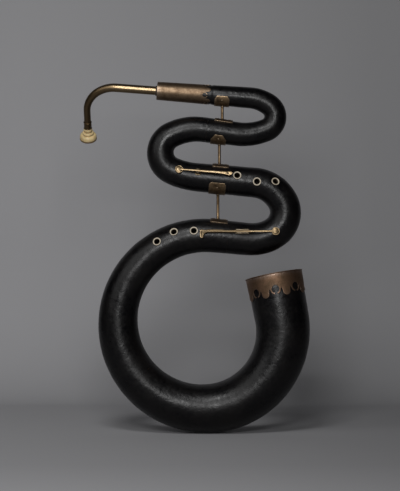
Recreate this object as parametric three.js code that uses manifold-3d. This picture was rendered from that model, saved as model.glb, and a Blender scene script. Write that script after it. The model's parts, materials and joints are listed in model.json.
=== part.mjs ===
// Serpent: a bass wind instrument with a cup mouthpiece. Its conical tube of wood, carved in
// front and back halves and covered in leather, winds down through three bows into one great bow.
// It has six bushed finger holes, two sprung brass keys, three brass stays, a dagged brass socket
// and garland, and a brass crook that lifts out of its socket with the mouthpiece.
// The tube runs in the XZ plane, and its holes and keys face -Y.
import * as THREE from 'three';
import { mergeVertices } from 'three/addons/utils/BufferGeometryUtils.js';
import Module from 'manifold-3d';

const wasm = await Module();
wasm.setup();

// Lengths are in millimetres and angles in degrees
// Gap that touching pieces keep, and how far a cutter runs past what it cuts
const clearance = 0.3;
const overrun = 4;

// Route of the tube, from the socket to the bell: slopes of its straight runs
const upperRunFall = 4.3;
const secondRunRise = 7.3;
const thirdRunFall = 5.3;
const fourthRunRise = 5.3;
const bellTilt = 10.7;

// Lengths of the straight runs
const upperRun = 205;
const secondRun = 76;
const thirdRun = 128;
const fourthRun = 79;
const bellRun = 92;

// Each bow eases in, turns tightly and eases out
const firstBowRadius = 31.5;
const firstBowEntryRadius = 82;
const firstBowEntryTurn = 33;
const firstBowExitRadius = 127;
const firstBowExitTurn = 30;
const secondBowRadius = 43.5;
const secondBowEntryRadius = 119;
const secondBowEntryTurn = 34.5;
const secondBowExitRadius = 170;
const secondBowExitTurn = 19;
const thirdBowRadius = 52.7;
const thirdBowEntryRadius = 78.5;
const thirdBowEntryTurn = 55.5;
const thirdBowExitRadius = 89;
const thirdBowExitTurn = 40;
const greatBowRadius = 190.5;
const bellBendRadius = 172;
const bellBendTurn = 99;

// The bell leans back by this much, bending over this length before its garland
const bellLean = 5.4;
const bellLeanRun = 200;

// Cross-section: outside over the leather, and how the diameter grows from socket to rim
const neckDiameter = 40;
const bellDiameter = 123;
const growthShares = [
  [0, 0], [0.08, 0.065], [0.19, 0.16], [0.34, 0.285], [0.5, 0.39],
  [0.6, 0.465], [0.7, 0.61], [0.8, 0.79], [0.9, 0.91], [1, 1],
];
const leatherThickness = 1.2;
const woodWall = 8;

// Facets of a bend: widest turn between rings, and longest step
const ringTurn = 27;
const ringStep = 58;

// Wood is carved and leather sewn in lengths that butt at these distances before a run's end
const neckJoint = 9;
const secondBowJoint = 56;
const thirdBowJoint = 33;
const greatBowJointShare = 0.72;
const bellJoint = 30;

// Socket ferrule, let in flush with the leather, and its dagged edge
const ferruleLength = 118;
const ferruleWall = 1;
const ferruleCap = 1.5;
const ferruleShoulder = 6;
const ferruleDags = 5;
const ferruleFirstDag = -9;
const ferruleHoleDiameter = 9;
const ferruleHoleDepth = 13;
const ferruleHorn = 1.5;
const ferruleTongue = 10.5;

// Bell garland, its turned-in lip and bead, and its dagged edge
const garlandHeight = 49;
const garlandWall = 1;
const garlandLip = 1.2;
const garlandBead = 1.2;
const garlandDags = 8;
const garlandFirstDag = 4;
const garlandHoleDiameter = 17.5;
const garlandHoleDepth = 15;
const garlandHorn = 2.4;
const garlandTongue = 17;

// Dagged edge: how far a horn turns round under its hole, and its slot beside the tongue
const hornEndAngle = 68;
const hornStartAngle = 20;
const tipFlatAngle = 8;
const dagArcSteps = 3;
const holeArcSteps = 5;

// Finger holes: distances of the bushes before (-) or past the end of their run, and angles
// round the tube from its front line
const fingerHoleDiameter = 11.7;
const fingerBushDiameter = 18.5;
const bushProud = 1.1;
const bushSides = 10;
const upperHoleFirst = -40;
const upperHoleSecond = 4;
const upperHoleThird = 38;
const upperHoleAngles = [20, 3, 30];
const lowerHoleFirst = 40;
const lowerHoleSecond = 80;
const lowerHoleThird = 119;
const lowerHoleAngles = [-18, -30, -23];

// Keys: shared sizes
const toneHoleDiameter = 10;
const toneBushDiameter = 16;
const toneBushProud = 1.4;
const padDiameter = 16.4;
const padThickness = 2.4;
const cupSides = 14;
const cupDiameter = 17.6;
const cupHeight = 3.4;
const leverThickness = 2.4;
const pinRadius = 1.2;
const pinHeight = 6.6;
const barrelRadius = 2.7;
const earThickness = 1.4;
const earTopRise = 3.2;
const saddleThickness = 1.2;
const springThickness = 0.7;
const springWidth = 4;
const springReach = 17;
const touchGap = 1.6;
const pivotSides = 8;
const curveSteps = 4;

// Pad cup from its middle underneath to its crown: shares of its radius and height
const cupProfileShares = [[0, 0], [1, 0], [1, 0.45], [0.85, 0.75], [0.45, 0.95], [0, 1]];

// Upper key, on the third run: its pivot is this far past the run's start
const upperKeyPivot = 2;
const upperKeySeatAngle = 19.5;
const upperKeyUpAngle = 20;
const upperKeySkew = 0;
const upperPadReach = 41.5;
const upperLeverWidth = 5.8;
const upperTouchWidth = 10.4;
const upperTouchLength = 20;
const upperTouchLift = 10;
const upperSaddleLength = 15;
const upperSaddleWidth = 15;
const upperEarTop = 4;

// Lower key, on the fourth run: its pivot is this far past the run's start
const lowerKeyPivot = 15;
const lowerKeySeatAngle = -23.5;
const lowerKeyUpAngle = -8;
const lowerKeySkew = 5.6;
const lowerPadReach = 72;
const lowerLeverWidth = 5.4;
const lowerTouchWidth = 7.7;
const lowerTouchDrop = 17.5;
const lowerTouchLift = 11;
const lowerSaddleLength = 38;
const lowerSaddleWidth = 10.4;
const lowerEarTop = 24;

// Stays: rods between the runs, with a plate on the tube above and the tube below
const stayRodRadius = 3.2;
const stayRodSides = 10;
const plateThickness = 1.5;
const firstStayPlace = 144;
const secondStayPlace = 39;
const thirdStayPlace = 47;
const upperPlateLengths = [32.8, 34, 37];
const upperPlateTopLengths = [23, 17, 30];
const upperPlateAngles = [84, 71, 74];
const plateChamfers = [7, 9.5, 4];
const lowerPlateLengths = [40, 36, 37];
const lowerPlateAngle = 38;

// Crook: a brass tube out of the socket, round one bend and down its leg
const crookRadius = 9.5;
const crookEndRadius = 7.6;
const crookWall = 1.2;
const crookInsert = 46;
const crookStraight = 90;
const crookBendRadius = 63;
const crookBend = 93.5;
const crookLeg = 46;
const crookSwing = 38;
const crookSides = 12;
const crookTurn = 15;
const lappingThickness = 1.3;
const crookRingLength = 16.8;
const crookRingWall = 1;

// Mouthpiece: turned, with a bead, a larger bead and a cup
const mouthpieceLength = 30;
const mouthpieceRimRadius = 19.15;
const mouthpieceCupRadius = 14.4;
const mouthpieceCupDepth = 12;
const mouthpieceThroatRadius = 3.6;
const mouthpieceShank = 24;
const mouthpieceShankTaper = 0.5;
const mouthpieceSides = 14;

// Outside of the mouthpiece from its collar to its lip: shares of rim radius and of length
const mouthpieceShares = [
  [0.43, 0], [0.48, 0.08], [0.49, 0.3], [0.42, 0.38], [0.63, 0.45], [0.63, 0.54],
  [0.58, 0.58], [0.82, 0.64], [0.95, 0.72], [1, 0.82], [1, 0.92], [0.93, 1], [0.8, 1],
];

const materials = {
  leather: finish(0x1b1a1c, 0.5, 0),
  wood: finish(0x5e3f28, 0.65, 0),
  ferruleBrass: finish(0x8c6a42, 0.4, 1),
  garlandBrass: finish(0x6b5138, 0.45, 1),
  stayBrass: finish(0x5a452f, 0.5, 1),
  keyBrass: finish(0xd2ac62, 0.3, 1),
  crookBrass: finish(0xa07b46, 0.35, 1),
  ivory: finish(0xcfc09a, 0.45, 0),
  bone: finish(0xb3a68c, 0.5, 0),
  padLeather: finish(0xc9b48f, 0.8, 0),
  thread: finish(0x6d5a44, 0.9, 0),
};

function finish(color, roughness, metalness) {
  return new THREE.MeshStandardMaterial({ color, roughness, metalness });
}

// Solids

function radians(angle) {
  return THREE.MathUtils.degToRad(angle);
}

// Radius of the corners of a regular polygon whose flats lie at this radius
function around(radius, sides) {
  return radius / Math.cos(Math.PI / sides);
}

function surface(points, triangles) {
  const geometry = new THREE.BufferGeometry().setFromPoints(points);
  geometry.setIndex(triangles.flat());
  return geometry;
}

function solidOf(geometry) {
  const bare = geometry.clone();
  bare.deleteAttribute('normal');
  bare.deleteAttribute('uv');
  const merged = mergeVertices(bare);
  return new wasm.Manifold(new wasm.Mesh({
    numProp: 3,
    vertProperties: new Float32Array(merged.attributes.position.array),
    triVerts: new Uint32Array(merged.index.array),
  }));
}

function geometryOf(solid) {
  const { vertProperties, triVerts } = solid.getMesh();
  const geometry = new THREE.BufferGeometry();
  geometry.setAttribute('position', new THREE.BufferAttribute(vertProperties, 3));
  geometry.setIndex(new THREE.BufferAttribute(triVerts, 1));
  return geometry;
}

// Rings of points joined in order, and the last to the first: a tube wall or a ring
function closedRings(rings) {
  const sides = rings[0].length;
  const triangles = [];
  rings.forEach((ring, i) => {
    const next = (i + 1) % rings.length;
    ring.forEach((point, k) => {
      const [a, b] = [i * sides + k, i * sides + (k + 1) % sides];
      const [c, d] = [next * sides + k, next * sides + (k + 1) % sides];
      triangles.push([a, c, b], [b, c, d]);
    });
  });
  return surface(rings.flat(), triangles);
}

// Like outlines joined in order, with their flat anticlockwise outline closing both ends
function loft(loops, outline) {
  const sides = loops[0].length;
  const triangles = [];
  loops.slice(1).forEach((loop, i) => {
    loop.forEach((point, k) => {
      const [a, b] = [i * sides + k, i * sides + (k + 1) % sides];
      const [c, d] = [a + sides, b + sides];
      triangles.push([a, c, b], [b, c, d]);
    });
  });
  const last = (loops.length - 1) * sides;
  for (const [a, b, c] of THREE.ShapeUtils.triangulateShape(outline, [])) {
    triangles.push([a, b, c], [last + a, last + c, last + b]);
  }
  return surface(loops.flat(), triangles);
}

// Straight prism of an outline in X and Y, from one height to another
function prism(outline, low, high) {
  const shape = new THREE.Shape(outline);
  const geometry = new THREE.ExtrudeGeometry(shape, { depth: high - low, bevelEnabled: false });
  return geometry.translate(0, 0, low);
}

// Turned piece about Z from a profile of [radius, height] pairs
function turned(profile, sides) {
  const points = profile.map(([radius, height]) => new THREE.Vector2(radius, height));
  return new THREE.LatheGeometry(points, sides).rotateX(Math.PI / 2);
}

function arc(x, y, radius, from, to, steps) {
  return Array.from({ length: steps + 1 }, (_, i) => {
    const angle = radians(from + (to - from) * i / steps);
    return new THREE.Vector2(x + radius * Math.cos(angle), y + radius * Math.sin(angle));
  });
}

function flipped(points) {
  return points.map(({ x, y }) => new THREE.Vector2(-x, y)).reverse();
}

// Route of the tube

function straight(length) {
  return { length, turn: 0 };
}

function bend(radius, turn) {
  return { length: radius * Math.abs(radians(turn)), turn: radians(turn) };
}

function bow(turn, radius, entryRadius, entryTurn, exitRadius, exitTurn) {
  const side = Math.sign(turn);
  return [
    bend(entryRadius, side * entryTurn),
    bend(radius, turn - side * (entryTurn + exitTurn)),
    bend(exitRadius, side * exitTurn),
  ];
}

const firstBow = bow(upperRunFall - secondRunRise - 180, firstBowRadius,
  firstBowEntryRadius, firstBowEntryTurn, firstBowExitRadius, firstBowExitTurn);
const secondBow = bow(180 + secondRunRise - thirdRunFall, secondBowRadius,
  secondBowEntryRadius, secondBowEntryTurn, secondBowExitRadius, secondBowExitTurn);
const thirdBow = bow(thirdRunFall - fourthRunRise - 180, thirdBowRadius,
  thirdBowEntryRadius, thirdBowEntryTurn, thirdBowExitRadius, thirdBowExitTurn);
const greatBow = [
  bend(greatBowRadius, 270 + fourthRunRise + bellTilt - bellBendTurn),
  bend(bellBendRadius, bellBendTurn),
];

const stretches = [
  straight(upperRun), ...firstBow, straight(secondRun), ...secondBow, straight(thirdRun),
  ...thirdBow, straight(fourthRun), ...greatBow, straight(bellRun),
];
const tubeLength = layOut(stretches, radians(-upperRunFall));
const [, , , , secondRunLeg, , , , thirdRunLeg, , , , fourthRunLeg, greatLeg, , bellLeg] = stretches;
const secondRunEnd = secondRunLeg.start + secondRun;
const thirdRunEnd = thirdRunLeg.start + thirdRun;
const fourthRunEnd = fourthRunLeg.start + fourthRun;

// Gives each stretch its start: distance, place and heading
function layOut(legs, heading) {
  let [start, x, z] = [0, 0, 0];
  for (const leg of legs) {
    Object.assign(leg, { start, x, z, heading });
    [x, z, heading] = along(leg, leg.length);
    start += leg.length;
  }
  return start;
}

function along({ x, z, heading, turn, length }, distance) {
  if (turn === 0) return [x + distance * Math.cos(heading), z + distance * Math.sin(heading), heading];
  const radius = length / turn;
  const angle = heading + distance / radius;
  return [
    x + radius * (Math.sin(angle) - Math.sin(heading)),
    z - radius * (Math.cos(angle) - Math.cos(heading)),
    angle,
  ];
}

// Axis of the tube at a distance from the socket: place, way along, left side and front
function axisAt(distance) {
  const leg = stretches.findLast(({ start }) => start <= distance) ?? stretches[0];
  const [x, z, heading] = along(leg, distance - leg.start);
  const leanEnd = tubeLength - garlandHeight - overrun;
  const leaning = THREE.MathUtils.clamp(distance - leanEnd + bellLeanRun, 0, bellLeanRun);
  const slope = Math.tan(radians(bellLean)) * leaning / bellLeanRun;
  const past = Math.max(distance - leanEnd, 0);
  const place = new THREE.Vector3(x, slope * (leaning / 2 + past), z);
  const onward = new THREE.Vector3(Math.cos(heading), slope, Math.sin(heading)).normalize();
  const left = new THREE.Vector3(-Math.sin(heading), 0, Math.cos(heading));
  const front = new THREE.Vector3().crossVectors(onward, left);
  return { place, onward, left, front };
}

// Way out from the axis at an angle from the front line, positive to the left of the way along
function outward({ left, front }, angle) {
  const turn = radians(angle);
  return front.clone().multiplyScalar(Math.cos(turn)).addScaledVector(left, Math.sin(turn));
}

function pointAt(distance, radius, angle) {
  const axis = axisAt(distance);
  return axis.place.clone().addScaledVector(outward(axis, angle), radius);
}

// Smooth curve through a table of pairs
function follow(table, x) {
  const last = table.length - 2;
  const i = Math.min(Math.max(table.findLastIndex(([key]) => key <= x), 0), last);
  const slopes = [i, i + 1].map((k) => {
    const [before, after] = [table[Math.max(k - 1, 0)], table[Math.min(k + 1, last + 1)]];
    return (after[1] - before[1]) / (after[0] - before[0]);
  });
  const [[x0, y0], [x1, y1]] = [table[i], table[i + 1]];
  const t = (x - x0) / (x1 - x0);
  const step = x1 - x0;
  const ease = t * t * (3 - 2 * t);
  const bulge = slopes[0] * step * t * (1 - t) ** 2 - slopes[1] * step * (1 - t) * t ** 2;
  return y0 + (y1 - y0) * ease + bulge;
}

// Radii at a distance from the socket
function skinRadius(distance) {
  const grown = follow(growthShares, distance / tubeLength);
  return (neckDiameter + (bellDiameter - neckDiameter) * grown) / 2;
}

function leatherRadius(distance) {
  const rising = (distance - ferruleLength - clearance) / ferruleShoulder;
  const inset = (ferruleWall + clearance) * (1 - THREE.MathUtils.clamp(rising, 0, 1));
  return skinRadius(distance) - inset;
}

function woodRadius(distance) {
  return leatherRadius(distance) - leatherThickness - clearance;
}

const lappingRadius = crookRadius + clearance + lappingThickness;
const socketRadius = lappingRadius + clearance;
const socketDepth = crookInsert + clearance;

function boreRadius(distance) {
  if (distance <= socketDepth) return socketRadius;
  return skinRadius(distance) - leatherThickness - clearance - woodWall;
}

// Distances at which the tube has a ring: ends of stretches, joints, steps and turns between
const tubeStart = ferruleCap + clearance;
const tubeEnd = tubeLength - garlandLip - clearance;
const joints = [
  secondRunEnd - neckJoint,
  thirdRunEnd - secondBowJoint,
  fourthRunEnd - thirdBowJoint,
  greatLeg.start + greatLeg.length * greatBowJointShare,
  bellLeg.start - bellJoint,
];
const stops = ringStops();

function ringStops() {
  const shoulder = ferruleLength + clearance;
  const places = [tubeStart, tubeEnd, shoulder, shoulder + ferruleShoulder,
    tubeLength - garlandHeight, ...joints];
  for (const { start, length, turn } of stretches) {
    const bends = Math.max(Math.abs(turn) / radians(ringTurn), length / ringStep);
    const steps = turn === 0 ? 1 : Math.ceil(bends);
    for (let i = 0; i < steps; i += 1) places.push(start + length * i / steps);
  }
  const inside = places.filter((place) => place >= tubeStart && place <= tubeEnd);
  inside.sort((a, b) => a - b);
  return inside.filter((place, i) => i === 0 || place - inside[i - 1] > clearance / 10);
}

// Rings of the tube from one distance to another, inclusive
function stopsBetween(from, to) {
  return [from, ...stops.filter((stop) => stop > from && stop < to), to];
}

// Whole rings of the tube that span a fitting, so that its faces match the leather's
function stopsAround(from, to) {
  const first = stops.findLastIndex((stop) => stop <= from);
  const last = stops.findIndex((stop) => stop >= to);
  return stops.slice(Math.max(first, 0), last < 0 ? undefined : last + 1);
}

function ring(distance, radius, sides) {
  return Array.from({ length: sides }, (_, k) => pointAt(distance, radius, 90 + 360 * k / sides));
}

// Closed wall of the tube between two radii
function tubeWall(places, outer, inner, sides) {
  const out = places.map((place) => ring(place, outer(place), sides));
  const back = places.toReversed().map((place) => ring(place, inner(place), sides));
  return closedRings([...out, ...back]);
}

// Solid tube, for cutting away or for judging what lies outside it
function tubeSolid(places, radius, sides) {
  const loops = places.map((place) => ring(place, radius(place), sides));
  const outline = arc(0, 0, radius(places[0]), 90, 90 + 360, sides).slice(0, sides);
  return solidOf(loft(loops, outline));
}

// Front (1) or back (-1) half of the tube's wall, with half the seam's gap on its own side
function halfWall(places, side, outer, sides, inner, innerSides) {
  const half = (radius, count) => arc(0, 0, radius, 90, -90, count / 2)
    .map(({ x, y }) => new THREE.Vector2(side * Math.max(x, clearance / 2), y));
  const section = (place) => {
    const outline = [...half(outer(place), sides), ...half(inner(place), innerSides).reverse()];
    return side > 0 ? outline.reverse() : outline;
  };
  const loops = places.map((place) => section(place).map(({ x, y }) => {
    const axis = axisAt(place);
    return axis.place.clone().addScaledVector(axis.front, x).addScaledVector(axis.left, y);
  }));
  return loft(loops, section(places[0]));
}

// Sections of the body

const sections = [
  { name: 'neck', sides: 12, boreSides: 8 },
  { name: 'second_bow', sides: 12, boreSides: 8 },
  { name: 'third_bow', sides: 12, boreSides: 8 },
  { name: 'great_bow', sides: 14, boreSides: 8 },
  { name: 'lower_bow', sides: 16, boreSides: 10 },
  { name: 'bell', sides: 20, boreSides: 20 },
].map((section, i) => ({
  ...section,
  from: i === 0 ? tubeStart : joints[i - 1] + clearance / 2,
  to: i === joints.length ? tubeEnd : joints[i] - clearance / 2,
}));

function sidesAt(distance) {
  return (sections.find(({ to }) => distance <= to) ?? sections.at(-1)).sides;
}

// Nearest distance along the tube to a point
function distanceNear(point, from, to) {
  let [low, high] = [from, to];
  const ahead = (distance) => {
    const { place, onward } = axisAt(distance);
    return point.clone().sub(place).dot(onward) > 0;
  };
  while (high - low > clearance / 100) {
    const middle = (low + high) / 2;
    if (ahead(middle)) low = middle;
    else high = middle;
  }
  return low;
}

// Finger holes

const fingerHoles = [
  ...[upperHoleFirst, upperHoleSecond, upperHoleThird]
    .map((place, i) => ({ distance: thirdRunEnd + place, angle: upperHoleAngles[i] })),
  ...[lowerHoleFirst, lowerHoleSecond, lowerHoleThird]
    .map((place, i) => ({ distance: fourthRunEnd + place, angle: lowerHoleAngles[i] })),
].map(({ distance, angle }) => {
  const axis = axisAt(distance);
  return {
    distance,
    frame: frameOf(axis.place, axis.onward, outward(axis, angle)),
    top: skinRadius(distance) + bushProud,
    bottom: boreRadius(distance) + clearance,
    radius: fingerBushDiameter / 2,
    bore: fingerHoleDiameter / 2,
  };
});

// Placing matrix with its origin, X as near as can be to one way, and Z along another
function frameOf(origin, near, up) {
  const z = up.clone().normalize();
  const y = new THREE.Vector3().crossVectors(z, near).normalize();
  const x = new THREE.Vector3().crossVectors(y, z);
  return new THREE.Matrix4().makeBasis(x, y, z).setPosition(origin);
}

// Key frames: origin on the leather under the pivot, X to the pad, Z up from the tube
const keys = [
  {
    name: 'upper_key', pivot: thirdRunLeg.start + upperKeyPivot, nextHole: fingerHoles[0],
    seatAngle: upperKeySeatAngle, upAngle: upperKeyUpAngle, skew: upperKeySkew,
    padReach: upperPadReach, width: upperLeverWidth, touchLift: upperTouchLift,
    saddleLength: upperSaddleLength, saddleWidth: upperSaddleWidth, earTop: upperEarTop,
    touch: leafTouch,
  },
  {
    name: 'lower_key', pivot: fourthRunLeg.start + lowerKeyPivot, nextHole: fingerHoles[3],
    seatAngle: lowerKeySeatAngle, upAngle: lowerKeyUpAngle, skew: lowerKeySkew,
    padReach: lowerPadReach, width: lowerLeverWidth, touchLift: lowerTouchLift,
    saddleLength: lowerSaddleLength, saddleWidth: lowerSaddleWidth, earTop: lowerEarTop,
    touch: hookTouch,
  },
].map(placeKey);

function placeKey(key) {
  const axis = axisAt(key.pivot);
  const up = outward(axis, key.upAngle);
  const toPad = axis.onward.clone().negate().applyAxisAngle(up, radians(key.skew));
  const seat = pointAt(key.pivot, skinRadius(key.pivot), key.seatAngle);
  const frame = frameOf(seat, toPad, up);
  const touchReach = key.nextHole.distance - key.pivot - fingerBushDiameter / 2 - touchGap;
  const toneHeight = skinHeight(frame, key.padReach, key.pivot);
  const bushTop = toneHeight + toneBushProud;
  const cupBottom = bushTop + clearance + padThickness + clearance;
  return { ...key, frame, touchReach, toneHeight, bushTop, cupBottom };
}

// Height of the leather in a key's frame, at a distance from its origin along X
function skinHeight(frame, x, pivot) {
  const span = Math.abs(x) + overrun;
  let height = 0;
  for (let i = 0; i < 8; i += 1) {
    const point = new THREE.Vector3(x, 0, height).applyMatrix4(frame);
    const near = distanceNear(point, pivot - 2 * span, pivot + 2 * span);
    const gap = point.distanceTo(axisAt(near).place) - skinRadius(near);
    height -= gap;
  }
  return height;
}

const toneHoles = keys.map(({ frame, padReach, toneHeight, bushTop, pivot }) => {
  const centre = new THREE.Matrix4().makeTranslation(padReach, 0, 0);
  return {
    distance: pivot - padReach,
    frame: frame.clone().multiply(centre),
    top: bushTop,
    bottom: toneHeight - leatherThickness - woodWall + clearance,
    radius: toneBushDiameter / 2,
    bore: toneHoleDiameter / 2,
  };
});

// Bush turned about its own axis: flat on top for a pad, or rounded for a finger
function bush({ top, bottom, radius, bore }, rounded) {
  const crown = rounded ? bushProud : clearance;
  const inner = around(bore, bushSides);
  const middle = (radius + inner) / 2;
  const profile = [
    [inner, bottom], [radius, bottom], [radius, top - crown],
    ...(rounded ? [[middle, top]] : [[radius - crown, top], [inner, top]]),
    [inner, top - crown], [inner, bottom],
  ];
  return turned(profile, bushSides);
}

function holeCutter({ frame, top, bottom, radius }) {
  const wide = around(radius + clearance, bushSides);
  const [low, high] = [bottom - overrun, top + overrun];
  const profile = [[0, low], [wide, low], [wide, high], [0, high]];
  return solidOf(turned(profile, bushSides).applyMatrix4(frame));
}

const drilled = [...fingerHoles, ...toneHoles].map((hole) => ({ hole, cutter: holeCutter(hole) }));

function drill(geometry, from, to) {
  const cutters = drilled.filter(({ hole: { distance, radius } }) => (
    distance > from - 3 * radius && distance < to + 3 * radius));
  if (cutters.length === 0) return geometry;
  const whole = solidOf(geometry);
  return geometryOf(cutters.reduce((solid, { cutter }) => solid.subtract(cutter), whole));
}

// Rings of the wood, which also steps where the crook's socket ends
function carvedStops(from, to) {
  const steps = [socketDepth, socketDepth + clearance].filter((step) => step > from && step < to);
  return [...stopsBetween(from, to), ...steps].sort((a, b) => a - b);
}

function bodySections(group) {
  for (const { name, sides, boreSides, from, to } of sections) {
    const inner = (place) => leatherRadius(place) - leatherThickness;
    const bore = (place) => around(boreRadius(place), boreSides);
    const cover = tubeWall(stopsBetween(from, to), leatherRadius, inner, sides);
    add(group, `leather_${name}`, drill(cover, from, to), materials.leather);
    const places = carvedStops(from, to);
    const front = halfWall(places, 1, woodRadius, sides, bore, boreSides);
    const back = halfWall(places, -1, woodRadius, sides, bore, boreSides);
    add(group, `wood_${name}_front`, drill(front, from, to), materials.wood);
    add(group, `wood_${name}_back`, back, materials.wood);
  }
}

// Dagged brass

// What is cut away between two tongues: a round hole, the slots beside its two horns, and the
// corners of the tongues. Y is 0 at the tongues' tips and grows into the brass.
function dagOutline(halfPitch, hole, depth, horn, tongue) {
  const tip = arc(halfPitch, tongue / 2, tongue / 2, -90 - tipFlatAngle, -180, dagArcSteps);
  const slot = new THREE.Vector2((hole + horn + halfPitch - tongue / 2) / 2, depth);
  const side = [
    new THREE.Vector2(tip[0].x, -overrun), ...tip, slot,
    ...arc(0, depth, hole + horn, -hornStartAngle, -hornEndAngle, dagArcSteps),
    ...arc(0, depth, hole, -hornEndAngle, 90, holeArcSteps),
  ];
  return [...side, ...flipped(side).slice(1)];
}

// Cuts a dagged edge round a shell whose tongues end at a distance along the tube
function cutDags(shell, distance, inward, count, first, hole, depth, horn, tongue) {
  const axis = axisAt(distance);
  const radius = skinRadius(distance);
  const outline = dagOutline(radius * Math.sin(Math.PI / count), hole, depth, horn, tongue);
  const low = radius * Math.cos(Math.PI / count) - overrun;
  const y = axis.onward.clone().multiplyScalar(inward);
  let solid = solidOf(shell);
  for (let k = 0; k < count; k += 1) {
    const z = outward(axis, first + 360 * k / count);
    const x = new THREE.Vector3().crossVectors(y, z);
    const place = new THREE.Matrix4().makeBasis(x, y, z).setPosition(axis.place);
    solid = solid.subtract(solidOf(prism(outline, low, radius + overrun).applyMatrix4(place)));
  }
  return geometryOf(solid);
}

function socketFerrule() {
  const { sides } = sections[0];
  const under = (place) => skinRadius(place) - ferruleWall;
  const mouth = around(socketRadius, sides);
  const rings = [
    ring(0, skinRadius(0), sides),
    ring(ferruleLength, skinRadius(ferruleLength), sides),
    ring(ferruleLength, under(ferruleLength), sides),
    ring(ferruleCap, under(ferruleCap), sides),
    ring(ferruleCap, mouth, sides),
    ring(0, mouth, sides),
  ];
  return cutDags(closedRings(rings), ferruleLength, -1, ferruleDags, ferruleFirstDag,
    ferruleHoleDiameter / 2, ferruleHoleDepth, ferruleHorn, ferruleTongue);
}

function bellGarland() {
  const { sides } = sections.at(-1);
  const start = tubeLength - garlandHeight;
  const under = (place) => skinRadius(place) + clearance;
  const over = (place) => under(place) + garlandWall;
  const sleeve = stopsBetween(start, tubeLength - 2 * garlandBead);
  const lip = tubeLength - garlandLip;
  const rings = [
    ...sleeve.map((place) => ring(place, over(place), sides)),
    ring(tubeLength - garlandBead, over(tubeLength) + garlandBead, sides),
    ring(tubeLength, over(tubeLength), sides),
    ring(tubeLength, boreRadius(tubeLength), sides),
    ring(lip, boreRadius(tubeLength), sides),
    ring(lip, under(lip), sides),
    ...sleeve.slice(0, -1).reverse().map((place) => ring(place, under(place), sides)),
  ];
  return cutDags(closedRings(rings), start, 1, garlandDags, garlandFirstDag,
    garlandHoleDiameter / 2, garlandHoleDepth, garlandHorn, garlandTongue);
}

// Stays

// Distance at which a run passes a place along X
function distanceAtX(x, from, to) {
  let [low, high] = [from, to];
  const rising = axisAt(to).place.x > axisAt(from).place.x;
  while (high - low > clearance / 100) {
    const middle = (low + high) / 2;
    if (axisAt(middle).place.x < x === rising) low = middle;
    else high = middle;
  }
  return low;
}

// Sheet of brass bent round the tube: the outline is seen from the front, X along the tube and
// Y out from its axis towards the stay
function tubePlate(distance, side, length, outline) {
  const axis = axisAt(distance);
  const places = stopsAround(distance - length / 2 - overrun, distance + length / 2 + overrun);
  const sides = sidesAt(distance);
  const inner = (place) => skinRadius(place) + clearance;
  const outer = (place) => inner(place) + plateThickness;
  const shell = solidOf(tubeWall(places, outer, inner, sides));
  const y = axis.left.clone().multiplyScalar(side);
  const z = new THREE.Vector3().crossVectors(axis.onward, y);
  const place = new THREE.Matrix4().makeBasis(axis.onward, y, z).setPosition(axis.place);
  const reach = skinRadius(distance) + overrun;
  return geometryOf(shell.intersect(solidOf(prism(outline, -reach, reach).applyMatrix4(place))));
}

// Plate with its far corners cut off, wrapping this far round the tube above the stay
function upperPlate(distance, side, i) {
  const radius = skinRadius(distance);
  const [half, top] = [upperPlateLengths[i] / 2, upperPlateTopLengths[i] / 2];
  const start = radius * Math.cos(radians(upperPlateAngles[i]));
  const corner = [
    new THREE.Vector2(top, start), new THREE.Vector2(half, start + plateChamfers[i]),
    new THREE.Vector2(half, radius + overrun),
  ];
  return tubePlate(distance, side, upperPlateLengths[i], [...corner, ...flipped(corner)]);
}

function lowerPlate(distance, side, i) {
  const radius = skinRadius(distance);
  const half = lowerPlateLengths[i] / 2;
  const corner = [
    new THREE.Vector2(half, radius * Math.cos(radians(lowerPlateAngle))),
    new THREE.Vector2(half, radius + overrun),
  ];
  return tubePlate(distance, side, lowerPlateLengths[i], [...corner, ...flipped(corner)]);
}

// Upright rod between two plates, its ends shaped to them
function stayRod(above, below) {
  const top = axisAt(above).place;
  const height = top.z - axisAt(below).place.z;
  const rod = new THREE.CylinderGeometry(stayRodRadius, stayRodRadius, height, stayRodSides);
  rod.rotateX(Math.PI / 2).translate(top.x, 0, top.z - height / 2);
  const cleared = (place) => skinRadius(place) + plateThickness + 2 * clearance;
  const reach = stayRodRadius + overrun;
  return geometryOf([above, below].reduce((solid, distance) => (
    solid.subtract(tubeSolid(stopsAround(distance - reach, distance + reach), cleared, sidesAt(distance)))
  ), solidOf(rod)));
}

function stays(group) {
  const runs = [
    {
      name: 'upper_stay', side: -1, above: firstStayPlace,
      from: secondRunLeg.start - overrun, to: secondRunEnd,
    },
    {
      name: 'middle_stay', side: 1, above: secondRunLeg.start + secondStayPlace,
      from: thirdRunLeg.start, to: thirdRunEnd,
    },
    {
      name: 'lower_stay', side: -1, above: thirdRunLeg.start + thirdStayPlace,
      from: fourthRunLeg.start, to: greatLeg.start + greatBowRadius,
    },
  ];
  runs.forEach(({ name, above, side, from, to }, i) => {
    const below = distanceAtX(axisAt(above).place.x, from, to);
    add(group, `${name}_rod`, stayRod(above, below), materials.stayBrass);
    add(group, `${name}_upper_plate`, upperPlate(above, side, i), materials.stayBrass);
    add(group, `${name}_lower_plate`, lowerPlate(below, side, i), materials.stayBrass);
  });
}

// Keys

// Outline in X and Z made solid across a key, between two places on its Y
function acrossKey(outline, from, to) {
  return prism(outline, -to, -from).rotateX(Math.PI / 2);
}

function pinBore(reach) {
  const radius = around(pinRadius + clearance, pivotSides);
  const bore = new THREE.CylinderGeometry(radius, radius, 2 * reach, pivotSides);
  return bore.translate(0, 0, pinHeight);
}

function earReach({ width }) {
  return width / 2 + clearance + earThickness;
}

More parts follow.
